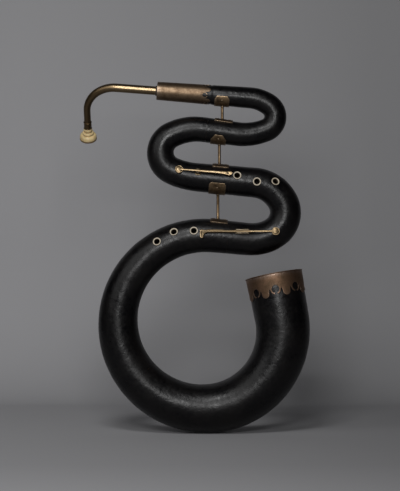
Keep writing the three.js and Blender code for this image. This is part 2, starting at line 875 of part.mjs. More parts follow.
function earOutline({ saddleLength, earTop, width }) {
  const foot = saddleLength / 2 - clearance;
  const top = pinHeight + earTopRise;
  const curve = new THREE.QuadraticBezierCurve(
    new THREE.Vector2(foot, saddleThickness), new THREE.Vector2(foot, top),
    new THREE.Vector2(earTop / 2, top),
  ).getPoints(curveSteps);
  const side = [new THREE.Vector2(foot, -earReach({ width })), ...curve];
  return [...side, ...flipped(side)];
}

// Saddle: a foot bent to the tube, with an ear each side of the lever
function saddle(key) {
  const { frame, pivot, saddleLength, saddleWidth, width } = key;
  const sides = sidesAt(pivot);
  const span = saddleLength / 2 + 2 * overrun;
  const places = stopsAround(pivot - span, pivot + span);
  const under = (place) => skinRadius(place) + clearance;
  const over = (place) => under(place) + saddleThickness;
  const shell = solidOf(tubeWall(places, over, under, sides));
  const plan = roundedBar(saddleLength, saddleWidth);
  const base = shell.intersect(solidOf(prism(plan, -saddleWidth, saddleWidth).applyMatrix4(frame)));
  const gap = width / 2 + clearance;
  const outline = earOutline(key);
  const ears = [[gap, gap + earThickness], [-gap - earThickness, -gap]]
    .map(([from, to]) => solidOf(acrossKey(outline, from, to).applyMatrix4(frame)));
  const whole = ears.reduce((solid, ear) => solid.add(ear), base);
  return geometryOf(whole.subtract(tubeSolid(places, under, sides))
    .subtract(solidOf(pinBore(saddleLength).applyMatrix4(frame))));
}

function roundedBar(length, width) {
  const side = arc(length / 2 - width / 2, 0, width / 2, -90, 90, curveSteps);
  return [...side, ...flipped(side)];
}

function hingePin(key) {
  const pin = new THREE.CylinderGeometry(pinRadius, pinRadius, 2 * earReach(key), pivotSides);
  return pin.translate(0, 0, pinHeight);
}

// Middle line of a lever from its touch over the pivot to its pad cup, in X and Z
function leverLine({ frame, pivot, touchReach, touchLift, padReach, cupBottom }) {
  const touchHeight = skinHeight(frame, -touchReach, pivot) + touchLift;
  return new THREE.SplineCurve([
    new THREE.Vector2(-touchReach, touchHeight + leverThickness / 2),
    new THREE.Vector2(0, pinHeight + barrelRadius - leverThickness / 2),
    new THREE.Vector2(padReach, cupBottom + leverThickness / 2 + clearance),
  ]);
}

// Strip of even height about a line in X and Z
function strip(points, thickness) {
  const shifted = (side) => points.map(({ x, y }) => new THREE.Vector2(x, y + side * thickness / 2));
  return [...shifted(-1), ...shifted(1).reverse()];
}

// Plan of a lever whose touch is a leaf with a round tip
function leafTouch({ padReach, width, touchReach }) {
  const [half, widest] = [width / 2, upperTouchWidth / 2];
  const tip = upperTouchLength / 3;
  const side = [
    new THREE.Vector2(-half, padReach),
    new THREE.Vector2(-half, upperTouchLength - touchReach),
    new THREE.Vector2(-(half + widest) / 2, (upperTouchLength + tip) / 2 - touchReach),
    ...arc(0, 0, 1, 180, 270, curveSteps).map(({ x, y }) => (
      new THREE.Vector2(x * widest, tip - touchReach + y * tip))),
  ];
  return [...side, ...flipped(side).slice(1)].map(({ x, y }) => new THREE.Vector2(y, x));
}

// Plan of a lever whose touch turns off square to one side
function hookTouch({ padReach, width, touchReach }) {
  const half = width / 2;
  const tip = lowerTouchWidth / 2;
  const bottom = half - lowerTouchDrop + tip;
  const inner = lowerTouchWidth - touchReach;
  return [
    new THREE.Vector2(padReach, -half), new THREE.Vector2(padReach, half),
    ...arc(half - touchReach, 0, half, 90, 180, curveSteps),
    ...arc(tip - touchReach, bottom, tip, 180, 360, curveSteps),
    new THREE.Vector2(inner, -half - tip), new THREE.Vector2(inner + tip, -half),
  ];
}

// Lever in one piece with its hinge barrel and pad cup
function lever(key) {
  const { width, padReach, touchReach, cupBottom, frame } = key;
  const line = strip(leverLine(key).getPoints(curveSteps * 2), leverThickness);
  const strap = solidOf(acrossKey(line, -touchReach, touchReach));
  const plan = solidOf(prism(key.touch(key), -touchReach, touchReach));
  const barrel = new THREE.CylinderGeometry(barrelRadius, barrelRadius, width, pivotSides);
  const cup = cupProfileShares.map(([radius, height]) => (
    [radius * cupDiameter / 2, cupBottom + height * cupHeight]));
  return geometryOf(strap.intersect(plan)
    .add(solidOf(barrel.translate(0, 0, pinHeight)))
    .add(solidOf(turned(cup, cupSides).translate(padReach, 0, 0)))
    .subtract(solidOf(pinBore(width)))).applyMatrix4(frame);
}

function pad({ padReach, bushTop }) {
  const [low, high] = [bushTop + clearance, bushTop + clearance + padThickness];
  const radius = padDiameter / 2;
  const profile = [[0, low], [radius, low], [radius, high], [0, high]];
  return turned(profile, cupSides).translate(padReach, 0, 0);
}

// Leaf spring: lies on the saddle under the lever and rises to press its touch end up
function leafSpring(key) {
  const { frame, pivot, saddleLength, seatAngle, upAngle } = key;
  const slant = springWidth / 2 * Math.tan(radians(Math.abs(seatAngle - upAngle)));
  const edge = -saddleLength / 2;
  const seat = Math.max(skinHeight(frame, edge, pivot), 0) + slant
    + saddleThickness + 2 * clearance + springThickness / 2;
  const end = edge - springReach;
  const under = pointOn(leverLine(key), end) - (leverThickness + springThickness) / 2 - clearance;
  const line = new THREE.QuadraticBezierCurve(
    new THREE.Vector2(-pinRadius, seat), new THREE.Vector2(edge, seat), new THREE.Vector2(end, under),
  ).getPoints(curveSteps);
  return acrossKey(strip(line, springThickness), -springWidth / 2, springWidth / 2);
}

// Height of a line at a place along X
function pointOn(line, x) {
  const points = line.getPoints(10 * curveSteps);
  return points.reduce((best, point) => (
    Math.abs(point.x - x) < Math.abs(best.x - x) ? point : best)).y;
}

function keyWork(group) {
  keys.forEach((key, i) => {
    const { name, frame } = key;
    add(group, `${name}_tone_bush`, bush(toneHoles[i], false), materials.bone, toneHoles[i].frame);
    add(group, `${name}_saddle`, saddle(key), materials.keyBrass);
    add(group, `${name}_hinge_pin`, hingePin(key), materials.keyBrass, frame);
    add(group, `${name}_lever`, lever(key), materials.keyBrass);
    add(group, `${name}_pad`, pad(key), materials.padLeather, frame);
    add(group, `${name}_spring`, leafSpring(key), materials.keyBrass, frame);
  });
}

// Crook and mouthpiece

const crookStretches = [
  straight(crookInsert + crookStraight), bend(crookBendRadius, crookBend), straight(crookLeg),
];
const crookLength = layOut(crookStretches, 0);

// Axis of the crook at a distance from its inner end: X out of the socket, Z down its leg's side
function crookAxisAt(distance) {
  const leg = crookStretches.findLast(({ start }) => start <= distance);
  const [x, z, heading] = along(leg, distance - leg.start);
  const socket = axisAt(0);
  const out = socket.onward.clone().negate();
  const down = outward(socket, 270 - crookSwing);
  const place = socket.place.clone().addScaledVector(out, x - crookInsert).addScaledVector(down, z);
  const onward = out.clone().multiplyScalar(Math.cos(heading)).addScaledVector(down, Math.sin(heading));
  const side = new THREE.Vector3().crossVectors(out, down);
  return { place, onward, side, frame: frameOf(place, side, onward) };
}

function crookOuter(distance) {
  const taper = (distance - crookInsert - crookStraight) / crookStretches[1].length;
  return crookRadius + (crookEndRadius - crookRadius) * THREE.MathUtils.clamp(taper, 0, 1);
}

function crookRing(distance, radius) {
  const { frame } = crookAxisAt(distance);
  return arc(0, 0, radius, 0, -360, crookSides).slice(0, crookSides)
    .map(({ x, y }) => new THREE.Vector3(x, y, 0).applyMatrix4(frame));
}

function crook() {
  const places = [0];
  for (const { start, length, turn } of crookStretches) {
    const steps = Math.max(1, Math.ceil(turn / radians(crookTurn)));
    for (let i = 1; i <= steps; i += 1) places.push(start + length * i / steps);
  }
  const inner = (place) => around(crookOuter(place) - crookWall, crookSides);
  return closedRings([
    ...places.map((place) => crookRing(place, crookOuter(place))),
    ...places.toReversed().map((place) => crookRing(place, inner(place))),
  ]);
}

function crookLapping() {
  const [inner, outer] = [around(crookRadius + clearance, crookSides), lappingRadius];
  const profile = [[inner, 0], [outer, 0], [outer, crookInsert], [inner, crookInsert], [inner, 0]];
  return turned(profile, crookSides);
}

function crookEndRing() {
  const inner = around(crookEndRadius + clearance, crookSides);
  const outer = crookEndRadius + clearance + crookRingWall;
  const profile = [[inner, -crookRingLength], [outer, -crookRingLength], [outer, 0], [inner, 0],
    [inner, -crookRingLength]];
  return turned(profile, crookSides);
}

function mouthpiece() {
  const shank = crookEndRadius - crookWall - clearance;
  const outside = mouthpieceShares.map(([radius, height]) => (
    [radius * mouthpieceRimRadius, clearance + height * mouthpieceLength]));
  const rim = clearance + mouthpieceLength;
  const floor = rim - mouthpieceCupDepth;
  const throatAngle = THREE.MathUtils.radToDeg(Math.acos(mouthpieceThroatRadius / mouthpieceCupRadius));
  const cup = arc(0, 0, 1, 0, throatAngle, curveSteps)
    .map(({ x, y }) => [x * mouthpieceCupRadius, rim - y * (rim - floor)]);
  const profile = [
    [mouthpieceThroatRadius, -mouthpieceShank],
    [shank - mouthpieceShankTaper, -mouthpieceShank], [shank, clearance],
    ...outside, ...cup, [mouthpieceThroatRadius, -mouthpieceShank],
  ];
  return turned(profile, mouthpieceSides);
}

function crookPieces(group) {
  const end = crookAxisAt(crookLength).frame;
  add(group, 'crook', crook(), materials.crookBrass);
  add(group, 'crook_lapping', crookLapping(), materials.thread, crookAxisAt(0).frame);
  add(group, 'crook_ring', crookEndRing(), materials.crookBrass, end);
  add(group, 'mouthpiece', mouthpiece(), materials.ivory, end);
}

function add(group, name, geometry, material, frame = new THREE.Matrix4()) {
  geometry.computeVertexNormals();
  const mesh = new THREE.Mesh(geometry, material);
  mesh.name = name;
  mesh.applyMatrix4(frame);
  group.add(mesh);
}

// The whole instrument, standing on the lowest point of its great bow

const serpent = new THREE.Group();
bodySections(serpent);
add(serpent, 'socket_ferrule', socketFerrule(), materials.ferruleBrass);
add(serpent, 'bell_garland', bellGarland(), materials.garlandBrass);
fingerHoles.forEach((hole, i) => {
  add(serpent, `finger_bush_${i + 1}`, bush(hole, true), materials.bone, hole.frame);
});
keyWork(serpent);
stays(serpent);
crookPieces(serpent);

const box = new THREE.Box3().setFromObject(serpent, true);
const middle = box.getCenter(new THREE.Vector3());
serpent.position.set(-middle.x, -middle.y, -box.min.z);

export default serpent;
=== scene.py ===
# Serpent: a leather-covered bass wind instrument with brass fittings, dressed round its CAD frame
import json
from math import acos, ceil, copysign, cos, hypot, pi, radians, sin, tan

import bmesh
import bpy
from bpy.props import FloatProperty, FloatVectorProperty, IntProperty, PointerProperty
from mathutils import Matrix, Vector, noise


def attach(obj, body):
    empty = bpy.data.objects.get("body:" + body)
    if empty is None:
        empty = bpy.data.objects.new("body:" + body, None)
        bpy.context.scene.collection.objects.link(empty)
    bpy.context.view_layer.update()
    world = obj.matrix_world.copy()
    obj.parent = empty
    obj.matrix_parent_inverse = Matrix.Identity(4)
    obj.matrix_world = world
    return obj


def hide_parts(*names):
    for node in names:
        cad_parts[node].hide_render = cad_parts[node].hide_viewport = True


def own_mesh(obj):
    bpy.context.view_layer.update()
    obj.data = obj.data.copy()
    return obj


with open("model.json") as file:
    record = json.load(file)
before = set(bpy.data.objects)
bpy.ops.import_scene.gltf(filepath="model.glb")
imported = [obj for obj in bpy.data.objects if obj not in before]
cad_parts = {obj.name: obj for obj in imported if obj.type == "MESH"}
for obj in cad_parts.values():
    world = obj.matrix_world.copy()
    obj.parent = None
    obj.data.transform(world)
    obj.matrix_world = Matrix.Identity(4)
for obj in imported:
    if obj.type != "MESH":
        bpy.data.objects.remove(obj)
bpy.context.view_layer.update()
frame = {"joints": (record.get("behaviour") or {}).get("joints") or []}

bl_info = {
    "name": "Serpent",
    "version": (1, 0, 0),
    "blender": (4, 5, 0),
    "location": "3D View > Sidebar > Serpent",
    "description": "Models a serpent, piece by piece, round its CAD frame",
    "category": "Object",
}

MM = 0.001
WELD = 0.02 * MM  # Vertices that are closer become one
TINY = 1e-7  # Rounding error of a place
SHARP = radians(38)  # Edges that turn more aren't shaded smooth
ACROSS_X, ACROSS_Y = (1, 0, 0), (0, 1, 0)
JOINTS = {joint["name"]: joint for joint in frame["joints"]}


# Settings


# Each kind of setting gives its property, its description, and its default and unit


def length(millimetres, description):
    return FloatProperty, description, {"default": millimetres * MM, "subtype": "DISTANCE",
                                        "unit": "LENGTH", "precision": 4}


def angle(degrees, description):
    return FloatProperty, description, {"default": radians(degrees), "subtype": "ANGLE",
                                        "unit": "ROTATION"}


def count(value, description):
    return IntProperty, description, {"default": value, "min": 1}


def amount(value, description):
    return FloatProperty, description, {"default": value, "min": 0}


def colour(description, *value):
    return FloatVectorProperty, description, {"default": value, "subtype": "COLOR", "size": 3,
                                              "min": 0, "max": 1}


def label(key):
    return key.replace("_", " ").capitalize()


def fields(**rows):
    """Settings of a group, whose labels their names spell."""
    return {key: kind(name=label(key), description=description, **options)
            for key, (kind, description, options) in rows.items()}


def bow_fields(name, radius, entry_radius, entry_turn, exit_radius, exit_turn):
    return {
        f"{name}_bow_radius": length(radius, f"Radius of the {name} bow at its tightest"),
        f"{name}_bow_entry_radius": length(entry_radius, f"Radius as the {name} bow begins"),
        f"{name}_bow_entry_turn": angle(entry_turn, "Turn made at the entry radius"),
        f"{name}_bow_exit_radius": length(exit_radius, f"Radius as the {name} bow ends"),
        f"{name}_bow_exit_turn": angle(exit_turn, "Turn made at the exit radius"),
    }


def dag_fields(name, dags, first, hole, depth, horn, tongue):
    return {
        f"{name}_wall": length(1, "Thickness of its sheet"),
        f"{name}_dags": count(dags, "Tongues round its edge"),
        f"{name}_first": angle(first, "Place of its first hole round the tube"),
        f"{name}_hole": length(hole, "Diameter of the holes between tongues"),
        f"{name}_depth": length(depth, "From tongue tips to hole centres"),
        f"{name}_horn": length(horn, "Width of the horns round the holes"),
        f"{name}_tongue": length(tongue, "Width of the tongues"),
    }


class SerpentRoute(bpy.types.PropertyGroup):
    """Middle line of the tube, from its socket to its bell"""

    __annotations__ = fields(
        upper_run_fall=angle(4.3, "Slope of the straight run with the socket"),
        second_run_rise=angle(7.3, "Slope of the run after the first bow"),
        third_run_fall=angle(5.3, "Slope of the run with the upper finger holes"),
        fourth_run_rise=angle(5.3, "Slope of the run before the great bow"),
        bell_tilt=angle(10.7, "How far the bell leans to its left"),
        upper_run=length(205, "Length of the straight run with the socket"),
        second_run=length(76, "Length of the run after the first bow"),
        third_run=length(128, "Length of the run with the upper finger holes"),
        fourth_run=length(79, "Length of the run before the great bow"),
        bell_run=length(92, "Length of the straight run that ends at the bell"),
        **bow_fields("first", 31.5, 82, 33, 127, 30),
        **bow_fields("second", 43.5, 119, 34.5, 170, 19),
        **bow_fields("third", 52.7, 78.5, 55.5, 89, 40),
        great_bow_radius=length(190.5, "Radius of the great bow"),
        bell_bend_radius=length(172, "Radius of the bend that rises to the bell"),
        bell_bend_turn=angle(99, "Turn made at the bell bend's radius"),
        bell_lean=angle(5.4, "How far the bell leans away from the front"),
        bell_lean_run=length(200, "Length over which the bell's lean comes in"),
    )


class SerpentTube(bpy.types.PropertyGroup):
    """Cross-section of the wooden tube and its leather cover"""

    __annotations__ = fields(
        neck_diameter=length(40, "Outside of the tube at its socket"),
        bell_diameter=length(123, "Outside of the tube at its bell"),
        leather_thickness=length(1.2, "Thickness of the leather cover"),
        wood_wall=length(8, "Thickness of the wooden wall"),
        fit=length(0.3, "Gap between pieces that touch"),
        leather_sides=count(72, "Faces round the leather cover"),
        wood_sides=count(20, "Faces round half of the wooden tube"),
        ring_step=length(4.4, "Distance between rings along the tube"),
        neck_joint=length(9, "Joint before the end of the second run"),
        second_bow_joint=length(56, "Joint before the end of the third run"),
        third_bow_joint=length(33, "Joint before the end of the fourth run"),
        great_bow_joint=amount(0.72, "Joint's share of the great bow's length"),
        bell_joint=length(30, "Joint before the bell run"),
        unevenness=length(0.5, "Height of the hollows and swellings of the leather"),
        leather=colour("Colour of the leather", 0.0013, 0.0012, 0.0016),
        leather_worn=colour("Colour of rubbed leather", 0.0042, 0.0036, 0.0036),
        wood=colour("Colour of the wood inside the bell", 0.085, 0.046, 0.024),
    )


class SerpentBrassEnds(bpy.types.PropertyGroup):
    """Dagged brass at both ends of the tube"""

    __annotations__ = fields(
        ferrule_length=length(118, "Length of the socket ferrule"),
        **dag_fields("ferrule", 5, -9, 9.4, 13, 2.1, 10.5),
        ferrule_cap=length(1.5, "Thickness of the socket's end plate"),
        ferrule_shoulder=length(6, "Length over which the leather rises past it"),
        garland_height=length(49, "Height of the bell garland"),
        **dag_fields("garland", 8, 4, 17, 16, 3.1, 17),
        garland_roll=length(1.2, "Radius of the roll at the rim"),
        garland_tips=length(2.6, "How much lower the tips of the tongues reach"),
        ferrule=colour("Colour of the socket's brass", 0.215, 0.15, 0.095),
        garland=colour("Colour of the garland's brass", 0.18, 0.108, 0.068),
        tarnish=colour("Colour of tarnished brass", 0.115, 0.074, 0.045),
    )


class SerpentHoles(bpy.types.PropertyGroup):
    """Six bushed finger holes"""

    __annotations__ = fields(
        bore=length(11.7, "Diameter of a finger hole"),
        bush=length(18.5, "Outside diameter of its bush"),
        proud=length(1.1, "How far a bush stands out of the leather"),
        bone=colour("Colour of the bushes", 0.52, 0.45, 0.34),
        # Dark colour of the bushes: painted shade down their bores and on the sides that face away
        # from the front.
        stain=colour("Colour of the bushes inside their bores", 0.022, 0.015, 0.010),
    )


class SerpentKeys(bpy.types.PropertyGroup):
    """Two sprung keys with pads"""

    __annotations__ = fields(
        tone_hole=length(10, "Diameter of a hole under a pad"),
        tone_bush=length(16, "Outside diameter of its bush"),
        tone_bush_proud=length(1.4, "How far it stands out of the leather"),
        pad_diameter=length(16.4, "Diameter of a pad"),
        pad_thickness=length(2.4, "Thickness of a pad"),
        cup_diameter=length(17.6, "Diameter of a pad cup"),
        cup_height=length(3.4, "Height of a pad cup"),
        lever_thickness=length(2.4, "Thickness of a lever"),
        pin_radius=length(1.2, "Radius of a hinge pin"),
        pin_height=length(6.6, "Pin's height over the leather"),
        barrel_radius=length(2.7, "Radius of a hinge barrel"),
        ear_thickness=length(1.4, "Thickness of a saddle's ears"),
        ear_rise=length(3.2, "How far the ears rise over the pin"),
        saddle_thickness=length(1.2, "Thickness of a saddle's foot"),
        spring_thickness=length(0.7, "Thickness of a leaf spring"),
        spring_width=length(4, "Width of a leaf spring"),
        spring_reach=length(17, "How far it reaches past the saddle"),
        touch_gap=length(1.6, "From a touch to the next finger hole's bush"),
        brass=colour("Colour of the keys", 0.2, 0.148, 0.086),
        dull_brass=colour("Colour in the keys' corners", 0.19, 0.132, 0.07),
        pad_leather=colour("Colour of the pads", 0.52, 0.40, 0.26),
    )


class SerpentStays(bpy.types.PropertyGroup):
    """Three stays between the runs"""

    __annotations__ = fields(
        rod_radius=length(3.2, "Radius of a stay's rod"),
        plate_thickness=length(1.5, "Thickness of a stay's plates"),
        brass=colour("Colour of the stays", 0.27, 0.185, 0.105),
        dark=colour("Colour of the stays' tarnish", 0.075, 0.050, 0.030),
    )


class SerpentCrook(bpy.types.PropertyGroup):
    """Brass crook, its end ring and its thread lapping"""

    __annotations__ = fields(
        radius=length(9.5, "Outside radius of the crook in its socket"),
        end_radius=length(7.6, "Outside radius at the mouthpiece"),
        wall=length(1.2, "Thickness of the crook's wall"),
        insert=length(46, "Length inside the socket"),
        straight=length(90, "Length from the socket to the bend"),
        bend_radius=length(63, "Radius of the bend"),
        bend=angle(93.5, "Turn of the bend"),
        leg=length(46, "Length from the bend to the end"),
        swing=angle(38, "How far the leg swings back"),
        lapping=length(1.3, "Thickness of the thread lapping"),
        ring_length=length(16.8, "Length of the ring on its end"),
        ring_wall=length(1, "Thickness of the ring"),
        brass=colour("Colour of the polished crook", 0.235, 0.172, 0.1),
        # The dark colour is painted shade on the bend and leg, and also the colour of tarnish
        # blotches.
        dark=colour("Colour of the unpolished bend and leg", 0.14, 0.095, 0.05),
        thread=colour("Colour of the lapping", 0.045, 0.03, 0.02),
    )


class SerpentMouthpiece(bpy.types.PropertyGroup):
    """Turned ivory mouthpiece"""

    __annotations__ = fields(
        height=length(30, "Height outside the crook"),
        rim_radius=length(19.15, "Outside radius of the rim"),
        cup_radius=length(14.4, "Radius of the cup at the rim"),
        cup_depth=length(12, "Depth of the cup"),
        throat_radius=length(3.6, "Radius of the throat"),
        shank=length(24, "Length inside the crook"),
        ivory=colour("Colour of the mouthpiece", 0.66, 0.505, 0.26),
        # Dark colour of the mouthpiece: its random stains, and painted shade in its grooves and
        # along its rim.
        stain=colour("Colour of its stained grooves", 0.1, 0.06, 0.024),
    )


class SerpentStage(bpy.types.PropertyGroup):
    """Floor, backdrop, lights and camera"""

    __annotations__ = fields(
        distance=length(4000, "From the camera to the instrument"),
        view_height=length(1080.2, "Height that the picture covers"),
        view_side=length(13.9, "Picture's middle, sideways from the middle"),
        view_middle=length(412.5, "Picture's middle above the floor"),
        backdrop=colour("Colour of the floor and backdrop", 0.46, 0.458, 0.472),
        key_power=amount(15, "Power of the light above, in watts"),
        front_power=amount(27, "Power of the light in front, in watts"),
        soft_power=amount(8, "Power of the large light at the left, in watts"),
        fill=amount(0.012, "Strength of the even light from all round"),
        far=amount(0.13, "How bright the far floor and what is past it look"),
    )


GROUPS = {
    "route": SerpentRoute, "tube": SerpentTube, "ends": SerpentBrassEnds, "holes": SerpentHoles,
    "keys": SerpentKeys, "stays": SerpentStays, "crook": SerpentCrook,
    "mouthpiece": SerpentMouthpiece, "stage": SerpentStage,
}


class SerpentSettings(bpy.types.PropertyGroup):
    """Everything that a user can change"""

    __annotations__ = {
        key: PointerProperty(type=kind, name=label(key), description=kind.__doc__)
        for key, kind in GROUPS.items()}


def settings():
    return bpy.context.scene.serpent


# Places where pieces sit, in metres and radians

# How the diameter grows from the socket to the rim: shares of the length and of the growth
GROWTH = (
    (0, 0), (0.08, 0.065), (0.19, 0.16), (0.34, 0.285), (0.5, 0.39),
    (0.6, 0.465), (0.7, 0.61), (0.8, 0.79), (0.9, 0.91), (1, 1),
)
MARGIN = 4 * MM  # Spare length past the ends of a search, and before the garland
SEARCH_STEP = 1e-6  # A search by halving stops at this


def follow(table, x):
    """Height at x of the smooth curve through a table of pairs."""
    last = len(table) - 2
    i = max((k for k in range(last + 1) if table[k][0] <= x), default=0)
    slopes = []
    for k in (i, i + 1):
        before, after = table[max(k - 1, 0)], table[min(k + 1, last + 1)]
        slopes.append((after[1] - before[1]) / (after[0] - before[0]))
    (x0, y0), (x1, y1) = table[i], table[i + 1]
    step = x1 - x0
    t = (x - x0) / step
    bulge = slopes[0] * step * t * (1 - t) ** 2 - slopes[1] * step * (1 - t) * t ** 2
    return y0 + (y1 - y0) * t * t * (3 - 2 * t) + bulge


def clamp(value, low=0.0, high=1.0):
    return min(max(value, low), high)


def straight(run):
    return {"length": run, "turn": 0.0}


def bend(radius, turn):
    return {"length": radius * abs(turn), "turn": turn}


def bow(route, name, turn):
    """A bend that eases in, turns tightly and eases out."""
    radius, entry_radius, entry_turn, exit_radius, exit_turn = (
        getattr(route, f"{name}_bow_{key}")
        for key in ("radius", "entry_radius", "entry_turn", "exit_radius", "exit_turn"))
    side = copysign(1, turn)
    return [
        bend(entry_radius, side * entry_turn),
        bend(radius, turn - side * (entry_turn + exit_turn)),
        bend(exit_radius, side * exit_turn),
    ]


def lay_out(legs, heading):
    """Gives each stretch its start: distance, place and heading."""
    start = x = z = 0.0
    for leg in legs:
        leg.update(start=start, x=x, z=z, heading=heading)
        x, z, heading = along(leg, leg["length"])
        start += leg["length"]
    return start


def along(leg, distance):
    """Place and heading at a distance along one stretch."""
    x, z, heading = leg["x"], leg["z"], leg["heading"]
    if leg["turn"] == 0:
        return x + distance * cos(heading), z + distance * sin(heading), heading
    radius = leg["length"] / leg["turn"]
    turned_to = heading + distance / radius
    return (x + radius * (sin(turned_to) - sin(heading)),
            z - radius * (cos(turned_to) - cos(heading)), turned_to)


def along_legs(legs, distance):
    """Place and heading at a distance along a route."""
    leg = next((leg for leg in reversed(legs) if leg["start"] <= distance), legs[0])
    return along(leg, distance - leg["start"])


def basis(x, y, z, place):
    """Placing matrix with these ways and this origin."""
    made = Matrix((x, y, z)).transposed().to_4x4()
    made.translation = place
    return made


def frame_of(origin, near, up):
    """Placing matrix with X as near as can be to one way, and Z along another."""
    z = up.normalized()
    y = z.cross(near).normalized()
    return basis(y.cross(z), y, z, origin)


def last_place(holds, low, high):
    """The last place between two for which a rule holds, by halving."""
    while high - low > SEARCH_STEP:
        middle = (low + high) / 2
        if holds(middle):
            low = middle
        else:
            high = middle
    return low


class Tube:
    """Route and radii of the tube, laid out from the settings."""

    def __init__(self):
        r, self.size, self.ends = settings().route, settings().tube, settings().ends
        self.lean, self.lean_run = r.bell_lean, r.bell_lean_run
        first = bow(r, "first", r.upper_run_fall - r.second_run_rise - pi)
        second = bow(r, "second", pi + r.second_run_rise - r.third_run_fall)
        third = bow(r, "third", r.third_run_fall - r.fourth_run_rise - pi)
        great = bend(r.great_bow_radius,
                     1.5 * pi + r.fourth_run_rise + r.bell_tilt - r.bell_bend_turn)
        runs = [straight(run) for run in (r.upper_run, r.second_run, r.third_run,
                                          r.fourth_run, r.bell_run)]
        self.legs = [runs[0], *first, runs[1], *second, runs[2], *third, runs[3], great,
                     bend(r.bell_bend_radius, r.bell_bend_turn), runs[4]]
        self.length = lay_out(self.legs, -r.upper_run_fall)
        self.runs, self.great = runs, great
        self.run_ends = [run["start"] + run["length"] for run in runs]
        self.origin = Vector(JOINTS["crook_turn"]["pos_m"])

    def axis(self, distance):
        """Placing matrix at a distance from the socket: X left, Y to the front, Z onward."""
        x, z, heading = along_legs(self.legs, distance)
        lean_end = self.length - self.ends.garland_height - MARGIN
        leaning = clamp(distance - lean_end + self.lean_run, 0, self.lean_run)
        slope = tan(self.lean) * leaning / self.lean_run
        y = slope * (leaning / 2 + max(distance - lean_end, 0))
        onward = Vector((cos(heading), slope, sin(heading))).normalized()
        left = Vector((-sin(heading), 0, cos(heading)))
        return basis(left, onward.cross(left), onward, self.origin + Vector((x, y, z)))

    def way_out(self, distance, turn):
        """Way out from the axis at an angle from the front line."""
        return self.axis(distance).to_3x3() @ Vector((sin(turn), cos(turn), 0))

    def point(self, distance, turn, radius):
        return self.axis(distance) @ Vector((radius * sin(turn), radius * cos(turn), 0))

    def skin(self, distance):
        grown = follow(GROWTH, distance / self.length)
        size = self.size
        return (size.neck_diameter + (size.bell_diameter - size.neck_diameter) * grown) / 2

    def leather(self, distance):
        """Outside of the leather, which steps in under the ferrule."""
        ends, fit = self.ends, self.size.fit
        rising = (distance - ends.ferrule_length - fit) / ends.ferrule_shoulder
        return self.skin(distance) - (ends.ferrule_wall + fit) * (1 - clamp(rising))

    def wood(self, distance):
        return self.leather(distance) - self.size.leather_thickness - self.size.fit

    def bore(self, distance):
        crook, fit = settings().crook, self.size.fit
        if distance <= crook.insert + fit:
            return crook.radius + crook.lapping + 2 * fit
        return self.skin(distance) - self.size.leather_thickness - fit - self.size.wood_wall

    def near(self, point, low, high):
        """Distance along the tube nearest to a point."""
        return last_place(lambda d: (self.axis(d).inverted() @ point).z > 0, low, high)

    def at_x(self, x, low, high):
        """Distance at which a run passes a place along X."""
        rising = self.axis(high).translation.x > self.axis(low).translation.x
        return last_place(lambda d: (self.axis(d).translation.x < x) == rising, low, high)

    def settle(self, point, low, high, lift):
        """Point moved straight in or out from the axis, to a height over the leather."""
        distance = self.near(point, low, high)
        place = self.axis(distance).translation
        return place + (point - place).normalized() * (self.skin(distance) + lift)

    def height_of_skin(self, placing, x, pivot):
        """Height of the leather in a key's frame, at a distance from its origin along X."""
        span = 2 * (abs(x) + MARGIN)
        height = 0.0
        for _ in range(8):  # Each round comes closer
            point = placing @ Vector((x, 0, height))
            distance = self.near(point, pivot - span, pivot + span)
            height -= (point - self.axis(distance).translation).length - self.skin(distance)
        return height

    def lengths(self):
        """Names and ends of the lengths that the tube is made up in."""
        size = self.size
        joints = [
            self.run_ends[1] - size.neck_joint,
            self.run_ends[2] - size.second_bow_joint,
            self.run_ends[3] - size.third_bow_joint,
            self.great["start"] + self.great["length"] * size.great_bow_joint,
            self.run_ends[4] - self.runs[4]["length"] - size.bell_joint,
        ]
        seam = size.fit / 4
        starts = [self.ends.ferrule_cap + size.fit, *[joint + seam for joint in joints]]
        ends = [*[joint - seam for joint in joints],
                self.length - self.ends.garland_roll - size.fit]
        names = ("neck", "second_bow", "third_bow", "great_bow", "lower_bow", "bell")
        return list(zip(names, starts, ends))

    def stations(self, start, end, step):
        """Distances of even rings from one place to another, with the ferrule's shoulder."""
        steps = ceil((end - start) / step)
        places = [start + (end - start) * i / steps for i in range(steps + 1)]
        shoulder = self.ends.ferrule_length + self.size.fit
        for extra in (shoulder, shoulder + self.ends.ferrule_shoulder):
            if start < extra < end:
                places.append(extra)
        return sorted(places)


# Run's index, distance from the run's end in millimetres, and degrees round the tube
HOLES = ((2, -40, 20), (2, 4, 3), (2, 38, 30), (3, 40, -18), (3, 80, -30), (3, 119, -23))


def finger_holes(tube):
    """Distance and placing matrix of each finger hole: Z out of the tube, origin on its axis."""
    made = []
    for run, at, turn in HOLES:
        distance = tube.run_ends[run] + at * MM
        axis = tube.axis(distance)
        out = tube.way_out(distance, radians(turn))
        made.append((distance, frame_of(axis.translation, axis.col[2].xyz, out)))
    return made


